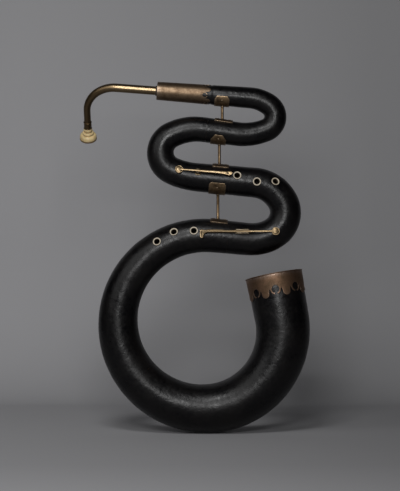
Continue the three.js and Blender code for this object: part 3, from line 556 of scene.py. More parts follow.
class Key:
    """Place and sizes of one key. X points to its pad and Z up from the tube."""

    def __init__(self, tube, name, pivot, seat, up, skew, pad_reach, width, lift, saddle, ear_top,
                 next_hole):
        k, size = settings().keys, tube.size
        self.name, self.pivot, self.pad_reach, self.width = name, pivot, pad_reach, width
        self.saddle_length, self.saddle_width = saddle
        self.ear_top = ear_top
        axis = tube.axis(pivot)
        way = tube.way_out(pivot, up)
        to_pad = Matrix.Rotation(skew, 3, way) @ -axis.col[2].xyz
        self.frame = frame_of(tube.point(pivot, seat, tube.skin(pivot)), to_pad, way)
        self.touch_reach = next_hole - pivot - settings().holes.bush / 2 - k.touch_gap
        self.tone_height = tube.height_of_skin(self.frame, pad_reach, pivot)
        self.bush_top = self.tone_height + k.tone_bush_proud
        self.cup_bottom = self.bush_top + size.fit + k.pad_thickness + size.fit
        touch = tube.height_of_skin(self.frame, -self.touch_reach, pivot) + lift
        self.line = spline([
            (-self.touch_reach, touch + k.lever_thickness / 2),
            (0, k.pin_height + k.barrel_radius - k.lever_thickness / 2),
            (pad_reach, self.cup_bottom + k.lever_thickness / 2 + size.fit),
        ], 24)
        slant = k.spring_width / 2 * tan(abs(seat - up))
        edge = -self.saddle_length / 2
        seat_height = (max(tube.height_of_skin(self.frame, edge, pivot), 0) + slant
                       + k.saddle_thickness + 2 * size.fit + k.spring_thickness / 2)
        end = edge - k.spring_reach
        under = (height_on(self.line, end) - (k.lever_thickness + k.spring_thickness) / 2
                 - size.fit)
        self.spring = [(-k.pin_radius, seat_height), (edge, seat_height), (end, under)]

    def tone_hole(self):
        return self.pivot - self.pad_reach, self.frame @ Matrix.Translation((self.pad_reach, 0, 0))


def both_keys(tube):
    holes = finger_holes(tube)
    upper = Key(tube, "upper_key", pivot=tube.runs[2]["start"] + 2 * MM, seat=radians(19.5),
                up=radians(20), skew=0, pad_reach=41.5 * MM, width=5.8 * MM, lift=10 * MM,
                saddle=(15 * MM, 15 * MM), ear_top=4 * MM, next_hole=holes[0][0])
    lower = Key(tube, "lower_key", pivot=tube.runs[3]["start"] + 15 * MM, seat=radians(-23.5),
                up=radians(-8), skew=radians(5.6), pad_reach=72 * MM, width=5.4 * MM,
                lift=11 * MM, saddle=(38 * MM, 10.4 * MM), ear_top=24 * MM,
                next_hole=holes[3][0])
    return upper, lower


# Outlines, in a plane


def arc(x, y, radius, start, end, steps):
    """Points round part of a circle, angles in degrees."""
    turns = [radians(start + (end - start) * i / steps) for i in range(steps + 1)]
    return [(x + radius * cos(turn), y + radius * sin(turn)) for turn in turns]


def spline(points, steps):
    """Smooth curve through points, with this many steps between two of them."""
    made = []
    for i in range(len(points) - 1):
        a, b = points[i], points[i + 1]
        before, after = points[max(i - 1, 0)], points[min(i + 2, len(points) - 1)]
        for k in range(steps):
            t = k / steps
            made.append(tuple(
                0.5 * (2 * q + (r - p) * t + (2 * p - 5 * q + 4 * r - s) * t * t
                       + (3 * q - p - 3 * r + s) * t ** 3)
                for p, q, r, s in zip(before, a, b, after)))
    return [*made, tuple(points[-1])]


def leaning(start, pull, end, steps):
    """Curve from start to end that leans towards a place between them."""
    return [tuple((1 - t) ** 2 * a + 2 * t * (1 - t) * b + t * t * c
                  for a, b, c in zip(start, pull, end))
            for t in (i / steps for i in range(steps + 1))]


def height_on(line, x):
    """Height of a line of (x, height) points at x."""
    for (x0, y0), (x1, y1) in zip(line, line[1:]):
        if min(x0, x1) <= x <= max(x0, x1) and x0 != x1:
            return y0 + (y1 - y0) * (x - x0) / (x1 - x0)
    return line[0][1] if abs(x - line[0][0]) < abs(x - line[-1][0]) else line[-1][1]


def flipped(points):
    return [(-x, y) for x, y in reversed(points)]


# Mesh tools


def every(mesh):
    return mesh.verts[:] + mesh.edges[:] + mesh.faces[:]


def verts_of(geometry):
    return [part for part in geometry if isinstance(part, bmesh.types.BMVert)]


def moved(mesh, matrix):
    bmesh.ops.transform(mesh, matrix=matrix, verts=mesh.verts)
    return mesh


def laid_down(y=0.0, z=0.0):
    """Placing matrix that turns Z to point along -Y."""
    return Matrix.Translation((0, y, z)) @ Matrix.Rotation(pi / 2, 4, "X")


def outwards(mesh):
    bmesh.ops.recalc_face_normals(mesh, faces=mesh.faces)
    return mesh


def sweep(mesh, ring, edges, places):
    """Draws an open or closed line of vertices through a list of placing matrices."""
    bmesh.ops.transform(mesh, matrix=places[0], verts=ring)
    for before, now in zip(places, places[1:]):
        made = bmesh.ops.extrude_edge_only(mesh, edges=edges)["geom"]
        ring = verts_of(made)
        fresh = set(ring)
        edges = [e for e in made
                 if isinstance(e, bmesh.types.BMEdge) and fresh.issuperset(e.verts)]
        bmesh.ops.transform(mesh, matrix=now @ before.inverted(), verts=ring)
    return edges


def rings(placing, radius, distances):
    """Matrices that place and size a circle at distances along a line."""
    return [placing(d) @ Matrix.Diagonal((radius(d), radius(d), 1, 1)) for d in distances]


def tube_wall(outer, inner, sides):
    """Closed wall of a tube: a ring drawn out along its outside and back along its inside."""
    mesh = bmesh.new()
    ring = bmesh.ops.create_circle(mesh, segments=sides, radius=1)["verts"]
    sweep(mesh, ring, mesh.edges[:], [*outer, *reversed(inner), outer[0]])
    bmesh.ops.remove_doubles(mesh, verts=mesh.verts, dist=WELD)
    return outwards(mesh)


def half_wall(outer, inner, side, sides, gap):
    """Closed front (1) or back (-1) half of a tube's wall, short of the seam by a gap."""
    mesh = bmesh.new()
    for places in (outer, inner):
        start = mesh.verts.new((cos(gap), side * sin(gap), 0))
        bmesh.ops.spin(mesh, geom=[start], cent=(0, 0, 0), axis=(0, 0, 1),
                       angle=side * (pi - 2 * gap), steps=sides)
        ring = [vert for vert in mesh.verts if not vert.link_faces]
        first = list({edge for vert in ring for edge in vert.link_edges})
        sweep(mesh, ring, first, places)
    bmesh.ops.bridge_loops(mesh, edges=[edge for edge in mesh.edges if edge.is_boundary])
    return outwards(mesh)


def turned(profile, steps, placing=None):
    """Solid turned about Z from a closed profile of (radius, height) points."""
    mesh = bmesh.new()
    verts = [mesh.verts.new((radius, 0, height)) for radius, height in profile]
    edges = [mesh.edges.new(pair) for pair in zip(verts, verts[1:] + verts[:1])
             if pair[0].co.x > TINY or pair[1].co.x > TINY]
    bmesh.ops.spin(mesh, geom=[*verts, *edges], cent=(0, 0, 0), axis=(0, 0, 1), angle=2 * pi,
                   steps=steps, use_merge=True)
    bmesh.ops.remove_doubles(mesh, verts=mesh.verts, dist=TINY)
    outwards(mesh)
    return moved(mesh, placing) if placing else mesh


def plate(outline, thickness, rounding=0.0, keep=None, segments=2):
    """Flat plate on Z 0 with an outline; its top rim is rounded where keep doesn't hold it."""
    mesh = bmesh.new()
    face = mesh.faces.new([mesh.verts.new((x, y, 0)) for x, y in outline])
    made = bmesh.ops.extrude_face_region(mesh, geom=[face], use_keep_orig=True)["geom"]
    top = verts_of(made)
    bmesh.ops.translate(mesh, vec=(0, 0, thickness), verts=top)
    outwards(mesh)
    if rounding:
        lifted = set(top)
        rim = [e for e in mesh.edges if lifted.issuperset(e.verts)
               and not (keep and keep(*(v.co for v in e.verts)))]
        bmesh.ops.bevel(mesh, geom=rim, offset=rounding, segments=segments, profile=0.5,
                        affect="EDGES", material=-1)
    return mesh


def cut_across(mesh, way, places):
    """Adds edges across a mesh where planes facing a way pass it, so that it can be bent."""
    for place in places:
        bmesh.ops.bisect_plane(mesh, geom=every(mesh), dist=TINY, plane_co=Vector(way) * place,
                               plane_no=way)


def cut_evenly(mesh, way, low, high, step):
    """Cuts a mesh across in even steps, no longer than this one."""
    number = ceil((high - low) / step)
    cut_across(mesh, way, [low + (high - low) * i / number for i in range(1, number)])


def bent(mesh, place):
    """Moves every vertex to where a rule puts it."""
    for vert in mesh.verts:
        vert.co = place(vert.co.copy())
    return mesh


def joined(*meshes):
    """One mesh that holds several."""
    whole = bmesh.new()
    for mesh in meshes:
        part = bpy.data.meshes.new("part")
        mesh.to_mesh(part)
        mesh.free()
        whole.from_mesh(part)
        bpy.data.meshes.remove(part)
    return whole


def object_from(name, mesh):
    data = bpy.data.meshes.new(name)
    mesh.to_mesh(data)
    mesh.free()
    made = bpy.data.objects.new(name, data)
    bpy.context.scene.collection.objects.link(made)
    return made


def carved(mesh, *tools):
    """What is left of a mesh when the tools' shapes are cut out of it."""
    whole = object_from("whole", mesh)
    knives = [object_from(f"knife_{i}", tool) for i, tool in enumerate(tools)]
    for knife in knives:
        cut = whole.modifiers.new(knife.name, "BOOLEAN")
        cut.operation, cut.solver, cut.object = "DIFFERENCE", "EXACT", knife
    left = bmesh.new()
    left.from_object(whole, bpy.context.evaluated_depsgraph_get())
    for made in (whole, *knives):
        data = made.data
        bpy.data.objects.remove(made)
        bpy.data.meshes.remove(data)
    return left


def piece(name, mesh, body, slot, node, look=None):
    """Makes a mesh a named piece that rides on a body and stands for a CAD node."""
    for edge in mesh.edges:
        edge.smooth = len(edge.link_faces) == 2 and edge.calc_face_angle() < SHARP
    for face in mesh.faces:
        face.smooth = True
    made = object_from(name, mesh)
    made.data.materials.append(finish(look or slot))
    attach(made, body)
    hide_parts(node)
    return made


# Materials


def add_node(tree, kind, inputs=None, **choices):
    """Adds a node; an input is a value or the output to link to it."""
    made = tree.nodes.new(kind)
    for key, value in choices.items():
        setattr(made, key, value)
    for key, value in (inputs or {}).items():
        if isinstance(value, bpy.types.NodeSocket):
            tree.links.new(value, made.inputs[key])
        else:
            made.inputs[key].default_value = value
    return made


def place_in(tree):
    return add_node(tree, "ShaderNodeTexCoord").outputs["Object"]


def clouds(tree, place, scale, detail=3.0, roughness=0.55, distortion=0.0):
    made = add_node(tree, "ShaderNodeTexNoise", {
        "Vector": place, "Scale": scale, "Detail": detail, "Roughness": roughness,
        "Distortion": distortion})
    return made.outputs["Fac"]


def ranged(tree, value, low, high, to_low=0.0, to_high=1.0):
    made = add_node(tree, "ShaderNodeMapRange", {
        "Value": value, "From Min": low, "From Max": high, "To Min": to_low, "To Max": to_high})
    return made.outputs["Result"]


def maths(tree, operation, a, b):
    return add_node(tree, "ShaderNodeMath", {0: a, 1: b}, operation=operation).outputs[0]


def times(tree, a, b):
    return maths(tree, "MULTIPLY", a, b)


def plus(tree, a, b):
    return maths(tree, "ADD", a, b)


def surface_fact(tree, name):
    return add_node(tree, "ShaderNodeNewGeometry").outputs[name]


def along_axis(tree, vector, axis):
    return add_node(tree, "ShaderNodeSeparateXYZ", {"Vector": vector}).outputs[axis]


def dimmed(shade, share):
    return tuple(c * share for c in shade)


def mixed(tree, share, a, b):
    made = add_node(tree, "ShaderNodeMix", {0: share}, data_type="RGBA")
    for socket, value in ((made.inputs[6], a), (made.inputs[7], b)):
        if isinstance(value, bpy.types.NodeSocket):
            tree.links.new(value, socket)
        else:
            socket.default_value = (*value, 1)
    return made.outputs[2]


def grouped(tree, name, build, outputs, **inputs):
    """Outputs of a group with value sockets; the group is made once, and its inputs set here."""
    inside = bpy.data.node_groups.get(name)
    if not inside:
        inside = bpy.data.node_groups.new(name, "ShaderNodeTree")
        for kind, keys in (("INPUT", inputs), ("OUTPUT", outputs)):
            for key in keys:
                inside.interface.new_socket(key, in_out=kind, socket_type="NodeSocketFloat")
        results = build(inside, inside.nodes.new("NodeGroupInput").outputs)
        sink = inside.nodes.new("NodeGroupOutput")
        for key, value in zip(outputs, results):
            inside.links.new(value, sink.inputs[key])
    made = add_node(tree, "ShaderNodeGroup", inputs, node_tree=inside)
    return [made.outputs[key] for key in outputs]


def patina_build(tree, given):
    place = place_in(tree)
    broad = clouds(tree, place, given["broad"], 4, 0.6, 0.4)
    fine = clouds(tree, place, given["fine"], 5, 0.65)
    both = plus(tree, times(tree, broad, 0.65), times(tree, fine, 0.35))
    return ranged(tree, both, 0.40, 0.62), fine


def patina(tree, broad, fine):
    """Blotches of tarnish or wear: a mask of both sizes, and the fine one alone."""
    return grouped(tree, "patina", patina_build, ("Blotches", "Flecks"), broad=broad, fine=fine)


def grain_build(tree, given):
    place = place_in(tree)
    cells = add_node(tree, "ShaderNodeTexVoronoi",
                     {"Vector": place, "Scale": given["grain"], "Randomness": 1.0},
                     feature="SMOOTH_F1").outputs["Distance"]
    creases = clouds(tree, place, given["creases"], 3, 0.55, 0.6)
    return plus(tree, times(tree, cells, 0.06), creases), cells


def leather_grain(tree, grain, creases):
    """Pebbled leather: a height, and its cells."""
    return grouped(tree, "leather_grain", grain_build, ("Height", "Cells"), grain=grain,
                   creases=creases)


def wear_build(tree, given):
    flecks = clouds(tree, place_in(tree), given["flecks"], 3)
    edge = ranged(tree, given["pointed"], given["start"], given["end"])
    return [times(tree, edge, ranged(tree, flecks, 0.3, 0.62))]


def edge_wear(tree):
    """Mask of the outer edges that hands have rubbed."""
    return grouped(tree, "edge_wear", wear_build, ("Wear",), start=0.505, end=0.56, flecks=300,
                   pointed=surface_fact(tree, "Pointiness"))[0]


def surface(tree, base, roughness, height, bump, distance, constants=None):
    """Principled surface with a bump; constants are set on its own sockets."""
    normal = add_node(tree, "ShaderNodeBump",
                      {"Height": height, "Strength": bump, "Distance": distance})
    shader = add_node(tree, "ShaderNodeBsdfPrincipled", {
        "Base Color": base, "Roughness": roughness, "Normal": normal.outputs["Normal"]})
    for key, value in (constants or {}).items():
        shader.inputs[key].default_value = value
    add_node(tree, "ShaderNodeOutputMaterial", {"Surface": shader.outputs["BSDF"]})


def leather_finish(tree):
    size = settings().tube
    blotches, flecks = patina(tree, 16, 130)
    height, _ = leather_grain(tree, 900, 95)
    base = mixed(tree, blotches, size.leather, size.leather_worn)
    rough = plus(tree, ranged(tree, blotches, 0, 1, 0.29, 0.39),
                 ranged(tree, flecks, 0.3, 0.7, -0.04, 0.06))
    surface(tree, base, rough, height, 0.55, 0.0010, {"Specular IOR Level": 0.27})


def wood_finish(tree):
    size = settings().tube
    stretched = add_node(tree, "ShaderNodeMapping",
                         {"Vector": place_in(tree), "Scale": (90, 90, 12)})
    grain = clouds(tree, stretched.outputs["Vector"], 1.0, 5, 0.6, 0.5)
    blotches, _ = patina(tree, 18, 90)
    base = mixed(tree, ranged(tree, grain, 0.35, 0.65), dimmed(size.wood, 0.35), size.wood)
    surface(tree, base, ranged(tree, blotches, 0, 1, 0.5, 0.7), grain, 0.35, 0.0006)


def brass_finish(tree, group, bright, tarnish, broad, fine, smooth, dull, wear, bump, upward_dark):
    """Brass with blotches of tarnish, fine scratches, rubbed edges and, where asked, a darker
    colour on faces that point up.
    """
    bright, tarnish = (
        dimmed(getattr(getattr(settings(), group), name), share)
        for name, share in (bright, tarnish))
    blotches, flecks = patina(tree, broad, fine)
    if upward_dark:
        # Faces that point up take the tarnish colour; this darkens the stays' lower plates.
        upward = along_axis(tree, surface_fact(tree, "True Normal"), "Z")
        blotches = maths(tree, "MAXIMUM", blotches, ranged(tree, upward, 0.45, 0.85, 0, upward_dark))
    rubbed = times(tree, edge_wear(tree), wear)
    base = mixed(tree, rubbed, mixed(tree, blotches, bright, tarnish),
                 tuple(min(1, c * 1.2 + 0.1) for c in bright))
    rough = maths(tree, "SUBTRACT", ranged(tree, blotches, 0, 1, smooth, dull),
                  times(tree, rubbed, 0.12))
    surface(tree, base, rough, flecks, bump, 0.0004, {"Metallic": 1.0})


# Group and colours of each brass, scales of its blotches and flecks, roughness where it is
# smooth and dull, and shares of wear, bump and of the darker colour on faces that point up
BRASSES = {
    "ferrule_brass": ("ends", ("ferrule", 1), ("tarnish", 1), 75, 420, 0.44, 0.52, 0.6, 0.5, 0),
    "garland_brass": ("ends", ("garland", 1), ("tarnish", 1), 60, 380, 0.56, 0.64, 1.0, 0.5, 0),
    "stay_brass": ("stays", ("brass", 1), ("dark", 1), 60, 260, 0.42, 0.56, 0.8, 0.15, 1.0),
    "key_brass": ("keys", ("brass", 1), ("dull_brass", 1), 50, 900, 0.3, 0.42, 0.3, 0.03, 0),
    # The saddles' brass is the keys' brass dimmed: a painted shade copy for the saddles under the
    # levers.
    "saddle_brass": ("keys", ("brass", 0.6), ("brass", 0.4), 110, 520, 0.32, 0.44, 0.5, 0.12, 0),
}


def crook_finish(tree):
    """Bright on the straight, and dark on the bend and leg: painted shade there, with blotches of
    tarnish.
    """
    crook = settings().crook
    blotches, flecks = patina(tree, 30, 600)
    start = JOINTS["crook_turn"]["pos_m"][0] - crook.straight
    # Painted shade: the crook darkens round the bend and stays dark on the leg.
    darkening = ranged(tree, along_axis(tree, place_in(tree), "X"), start + 8 * MM,
                       start - 42 * MM)
    share = maths(tree, "MINIMUM", plus(tree, times(tree, darkening, 0.86),
                                        times(tree, blotches, 0.2)), 1.0)
    base = mixed(tree, share, crook.brass, crook.dark)
    surface(tree, base, ranged(tree, share, 0, 1, 0.3, 0.4), flecks, 0.012, 0.0002,
            {"Metallic": 1.0})


def ivory_finish(tree):
    """Yellowed, with blotchy stains, fine turning marks, and painted shade in its grooves and
    along its rim.
    """
    mouthpiece = settings().mouthpiece
    blotches, flecks = patina(tree, 90, 600)
    # Painted shade: the concave grooves under the beads take the dark colour.
    grooves = ranged(tree, surface_fact(tree, "Pointiness"), 0.497, 0.465)
    line = CrookLine().frame(CrookLine().length)
    onward = line.col[2].xyz
    rim = onward.dot(line.translation) + mouthpiece.height
    height = add_node(tree, "ShaderNodeVectorMath", {0: place_in(tree), 1: onward},
                      operation="DOT_PRODUCT").outputs["Value"]
    # Painted shade: a band round the rim takes the dark colour, fully from 3.4 mm below its top.
    rim_shade = ranged(tree, height, rim - 4.9 * MM, rim - 3.4 * MM)
    marks = maths(tree, "SINE", times(tree, height, 2 * pi / (1.1 * MM)), 0)
    groove_and_rim_shade = maths(tree, "MAXIMUM", times(tree, grooves, 0.8), rim_shade)
    # The dark colour mixes random stains with the painted shade of the grooves and rim.
    stained_and_shaded = plus(tree, times(tree, blotches, 0.34), times(tree, groove_and_rim_shade, 0.86))
    base = mixed(tree, stained_and_shaded, mouthpiece.ivory, mouthpiece.stain)
    relief = plus(tree, flecks, times(tree, marks, 0.12))
    surface(tree, base, ranged(tree, flecks, 0.3, 0.7, 0.38, 0.5), relief, 0.2, 0.0003,
            {"Subsurface Weight": 0.1, "Subsurface Scale": 0.002})


def bone_finish(tree):
    holes = settings().holes
    blotches, flecks = patina(tree, 140, 700)
    # Painted shade: faces that turn away from the front, down the bore and on the sides, take the
    # dark colour.
    front = along_axis(tree, surface_fact(tree, "True Normal"), "Y")
    crown = mixed(tree, times(tree, blotches, 0.6), holes.bone, dimmed(holes.bone, 0.42))
    base = mixed(tree, ranged(tree, front, -0.72, -0.5), crown, holes.stain)
    surface(tree, base, ranged(tree, flecks, 0.3, 0.7, 0.36, 0.5), flecks, 0.15, 0.0003)


def pad_finish(tree):
    keys = settings().keys
    height, cells = leather_grain(tree, 1500, 500)
    base = mixed(tree, ranged(tree, cells, 0, 0.8), keys.pad_leather,
                 dimmed(keys.pad_leather, 0.5))
    surface(tree, base, ranged(tree, cells, 0, 1, 0.7, 0.85), height, 0.4, 0.0003)


def thread_finish(tree):
    crook = settings().crook
    blotches, flecks = patina(tree, 100, 900)
    base = mixed(tree, flecks, dimmed(crook.thread, 0.45), crook.thread)
    surface(tree, base, ranged(tree, blotches, 0, 1, 0.75, 0.9), flecks, 0.6, 0.0003)


FINISHES = {
    "leather": leather_finish, "wood": wood_finish, "crook_brass": crook_finish,
    "ivory": ivory_finish, "bone": bone_finish, "pad_leather": pad_finish,
    "thread": thread_finish,
}


def finish(slot):
    """The material of a slot, made the first time that it is asked for."""
    made = bpy.data.materials.get(f"serpent_{slot}")
    if not made:
        made = bpy.data.materials.new(f"serpent_{slot}")
        made.use_nodes = True
        made.node_tree.nodes.clear()
        if slot in BRASSES:
            brass_finish(made.node_tree, *BRASSES[slot])
        else:
            FINISHES[slot](made.node_tree)
    return made


# Pieces


class SERPENT_OT_stage(bpy.types.Operator):
    """Makes the floor, backdrop, lights and camera"""

    bl_idname = "serpent.stage"
    bl_label = "Stage"

    def execute(self, context):
        stage = settings().stage
        middle = Vector((stage.view_side, Tube().origin.y, stage.view_middle))
        self.add_camera(context, stage, middle)
        self.add_backdrop(stage)
        self.add_lights(context, stage, middle)
        context.scene.view_settings.view_transform = "Standard"
        return {"FINISHED"}

    def add_camera(self, context, stage, middle):
        camera = bpy.data.cameras.new("camera")
        camera.sensor_width = 36
        camera.lens = camera.sensor_width * stage.distance / stage.view_height
        place = middle - Vector((0, stage.distance, 0))
        context.scene.camera = self.looking(camera, place, middle)

    def looking(self, data, place, at):
        """An object for a camera or light, turned to look at a place."""
        made = bpy.data.objects.new(data.name, data)
        made.location = place
        made.rotation_euler = (at - Vector(place)).to_track_quat("-Z", "Y").to_euler()
        bpy.context.scene.collection.objects.link(made)
        return made

    def add_backdrop(self, stage):
        """Floor that curves up into a backdrop, and a wide floor under it for the other views."""
        mesh = bmesh.new()
        half, front, back, curve, top = 3.0, -2.0, 1.05, 0.4, 3.0
        profile = [(front, 0), *arc(back - curve, curve, curve, -90, 0, 16), (back, top)]
        verts = [mesh.verts.new((-half, y, z)) for y, z in profile]
        edges = [mesh.edges.new(pair) for pair in zip(verts, verts[1:])]
        made = bmesh.ops.extrude_edge_only(mesh, edges=edges)["geom"]
        bmesh.ops.translate(mesh, vec=(2 * half, 0, 0), verts=verts_of(made))
        mesh.normal_update()
        down = [face for face in mesh.faces if face.normal.z - face.normal.y < 0]
        bmesh.ops.reverse_faces(mesh, faces=down)
        for face in mesh.faces:
            face.smooth = True
        wide = bmesh.new()
        bmesh.ops.create_grid(wide, x_segments=1, y_segments=1, size=40)
        moved(wide, Matrix.Translation((0, 0, -1 * MM)))
        paper = self.paper(stage)
        for name, sheet in (("backdrop", mesh), ("floor", wide)):
            made = object_from(name, sheet)
            made.data.materials.append(paper)

    def paper(self, stage):
        """Matt paper with painted shade, paler at the left and the back, that is clear from
        behind.

        It fades to an even grey far from the middle of the floor.
        """
        made = bpy.data.materials.new("studio_paper")
        made.use_nodes = True
        tree = made.node_tree
        shader = tree.nodes["Principled BSDF"]
        place = place_in(tree)
        # Painted shade: the paper's colour darkens to the right and towards the front.
        shade = times(tree, ranged(tree, along_axis(tree, place, "X"), -0.5, 0.5, 1.0, 0.74),
                      ranged(tree, along_axis(tree, place, "Y"), 1.0, -0.6, 1.0, 0.6))
        tree.links.new(mixed(tree, shade, (0, 0, 0), stage.backdrop), shader.inputs["Base Color"])
        shader.inputs["Roughness"].default_value = 0.95
        shader.inputs["Specular IOR Level"].default_value = 0.1
        off = add_node(tree, "ShaderNodeVectorMath", {0: place}, operation="LENGTH")
        seen = add_node(tree, "ShaderNodeLightPath").outputs["Is Camera Ray"]
        share = times(tree, seen, ranged(tree, off.outputs["Value"], 1.3, 3.2))
        grey = add_node(tree, "ShaderNodeEmission", {"Strength": stage.far}).outputs["Emission"]
        faded = add_node(tree, "ShaderNodeMixShader",
                         {0: share, 1: shader.outputs["BSDF"], 2: grey}).outputs[0]
        clear = add_node(tree, "ShaderNodeBsdfTransparent").outputs["BSDF"]
        shown = add_node(tree, "ShaderNodeMixShader",
                         {0: surface_fact(tree, "Backfacing"), 1: faded, 2: clear})
        tree.links.new(shown.outputs[0], tree.nodes["Material Output"].inputs["Surface"])
        return made

    def add_lights(self, context, stage, middle):
        """Soft lights above, in front and at the left, and an even fill."""
        for name, place, size, power in (
            ("key_light", (-0.25, -1.6, 1.75), 0.5, stage.key_power),
            ("front_light", (-0.12, -2.7, 1.0), 0.6, stage.front_power),
            ("soft_light", (-1.4, -1.5, 1.4), 1.4, stage.soft_power),
        ):
            light = bpy.data.lights.new(name, "AREA")
            light.shape, light.size, light.energy = "SQUARE", size, power
            self.looking(light, place, middle)
        world = bpy.data.worlds.new("studio")
        world.use_nodes = True
        tree = world.node_tree
        background = tree.nodes["Background"]
        background.inputs["Color"].default_value = (1, 1, 1, 1)
        seen = add_node(tree, "ShaderNodeLightPath").outputs["Is Camera Ray"]
        tree.links.new(ranged(tree, seen, 0, 1, stage.fill, stage.far),
                       background.inputs["Strength"])
        context.scene.world = world


class SERPENT_OT_leather(bpy.types.Operator):
    """Models the leather cover in its six lengths, with its holes cut"""

    bl_idname = "serpent.leather"
    bl_label = "Leather cover"

    def execute(self, context):
        tube = Tube()
        size = tube.size
        for name, start, end in tube.lengths():
            places = tube.stations(start, end, size.ring_step)
            outer = rings(tube.axis, tube.leather, places)
            inner = rings(tube.axis, lambda d: tube.leather(d) - size.leather_thickness, places)
            mesh = tube_wall(outer, inner, size.leather_sides)
            self.knead(mesh, size.unevenness)
            mesh = carved(mesh, *hole_cutters(tube, start, end))
            piece(f"leather_cover_{name}", mesh, "body", "leather", f"leather_{name}")
        return {"FINISHED"}

    def knead(self, mesh, height):
        """Gives stretched leather its hollows and swellings, the hollows deeper."""
        to_a_metre, finer_to_a_metre, elsewhere = 42, 130, Vector((5, 1, 3))
        mesh.normal_update()
        ways = [vert.normal.copy() for vert in mesh.verts]
        for vert, way in zip(mesh.verts, ways):
            broad = noise.noise(vert.co * to_a_metre)
            fine = noise.noise(vert.co * finer_to_a_metre + elsewhere)
            vert.co += way * height * (0.6 * broad + 0.25 * fine - 0.3)


def hole_cutters(tube, start, end):
    """Cutters for the holes of one length of the tube, from its bore to past the bushes."""
    holes, keys, fit = settings().holes, settings().keys, tube.size.fit
    past = 5 * MM
    cutters = []
    for distance, placing in finger_holes(tube):
        if start - holes.bush < distance < end + holes.bush:
            low = tube.bore(distance) * 0.7
            cutters.append(rod(holes.bush / 2 + fit / 3, low, tube.skin(distance) + past,
                               placing))
    for key in both_keys(tube):
        distance, placing = key.tone_hole()
        if start - keys.tone_bush < distance < end + keys.tone_bush:
            low = key.tone_height - 1.6 * tube.size.wood_wall
            cutters.append(rod(keys.tone_bush / 2 + fit / 3, low, key.bush_top + past, placing))
    return cutters


def rod(radius, low, high, placing, sides=48):
    """Plain round bar along Z."""
    mesh = bmesh.new()
    bmesh.ops.create_cone(mesh, cap_ends=True, segments=sides, radius1=radius, radius2=radius,
                          depth=high - low, matrix=Matrix.Translation((0, 0, (low + high) / 2)))
    return moved(mesh, placing)


class SERPENT_OT_wood(bpy.types.Operator):
    """Models the carved halves of the tube"""

    bl_idname = "serpent.wood"
    bl_label = "Wooden tube"

    def execute(self, context):
        tube = Tube()
        size = tube.size
        socket = settings().crook.insert + size.fit
        for name, start, end in tube.lengths():
            places = tube.stations(start, end, 2.5 * size.ring_step)
            if start < socket < end:
                places = sorted([*places, socket, socket + size.fit])
            outer = rings(tube.axis, tube.wood, places)
            inner = rings(tube.axis, tube.bore, places)
            gap = size.fit / 2 / tube.wood(start)
            for side, word in ((1, "front"), (-1, "back")):
                mesh = half_wall(outer, inner, side, size.wood_sides, gap)
                if side > 0:
                    mesh = carved(mesh, *hole_cutters(tube, start, end))
                piece(f"tube_{name}_{word}", mesh, "body", "wood", f"wood_{name}_{word}")
        return {"FINISHED"}


class SERPENT_OT_finger_bushes(bpy.types.Operator):
    """Models the six bone bushes of the finger holes"""

    bl_idname = "serpent.finger_bushes"
    bl_label = "Finger bushes"

    def execute(self, context):
        tube, holes = Tube(), settings().holes
        for i, (distance, placing) in enumerate(finger_holes(tube), 1):
            top = tube.skin(distance) + holes.proud
            bottom = tube.bore(distance) + tube.size.fit
            inner, outer = holes.bore / 2 + 0.25 * MM, holes.bush / 2 - 0.2 * MM
            crown = spline([
                (outer, top - 1.1 * holes.proud), (outer - 0.05 * MM, top - 0.45 * holes.proud),
                (outer - 0.45 * MM, top - 0.08 * MM), (outer - 1.2 * MM, top),
                (inner + 1.0 * MM, top - 0.1 * MM), (inner + 0.2 * MM, top - 0.7 * MM),
                (inner, top - 2.0 * MM)], 3)
            mesh = turned([(inner, bottom), (outer, bottom), *crown], 48, placing)
            piece(f"finger_hole_bush_{i}", mesh, "body", "bone", f"finger_bush_{i}")
        return {"FINISHED"}


def dag_outline(half, hole, depth, horn, tongue, height):
    """One period of a dagged edge: half tongues at its sides and a horned hole between.

    Y is 0 at the tongues' tips and grows into the brass.
    """
    wide = hole + horn
    side = half - tongue / 2
    shoulder, root = arc(0, depth, wide, -20, -20, 1)[0], depth + 0.05 * tongue
    notch = spline([
        (side, tongue / 2), (side - 0.02 * tongue, 0.75 * depth), ((side + wide) / 2, root),
        (wide - 0.004 * tongue, depth - 0.1 * wide), shoulder], 5)
    right = [
        (half, height), *arc(half, tongue / 2, tongue / 2, -90, -180, 16)[:-1], *notch[:-1],
        *arc(0, depth, wide, -20, -70, 12),
        *arc(0, depth, hole + horn / 2, -74, -74, 1)[:1],
        *arc(0, depth, hole, -70, 90, 26),
    ]
    return [*right, *flipped(right)[1:]]


def dagged_band(ends, name, radius, height):
    """Sheet with a dagged edge, unrolled: X round the tube at this radius, Y from the tips."""
    dags, hole, depth, horn, tongue, wall = (
        getattr(ends, f"{name}_{key}")
        for key in ("dags", "hole", "depth", "horn", "tongue", "wall"))
    half = pi * radius / dags
    outline = dag_outline(half, hole / 2, depth, horn, tongue, height)

    def on_border(*ends):
        return (all(abs(abs(co.x) - half) < TINY for co in ends)
                or all(abs(co.y - height) < TINY for co in ends))

    mesh = plate(outline, wall, 0.24 * wall, on_border, 2)
    cut_evenly(mesh, ACROSS_X, -half, half, 2.2 * MM)
    cut_evenly(mesh, ACROSS_Y, 0, height, 6 * MM)
    borders = [f for f in mesh.faces if all(abs(abs(v.co.x) - half) < TINY for v in f.verts)]
    bmesh.ops.delete(mesh, geom=borders, context="FACES")
    period = every(mesh)
    for k in range(1, dags):
        copy = bmesh.ops.duplicate(mesh, geom=period)["geom"]
        bmesh.ops.translate(mesh, vec=(2 * half * k, 0, 0), verts=verts_of(copy))
    return mesh


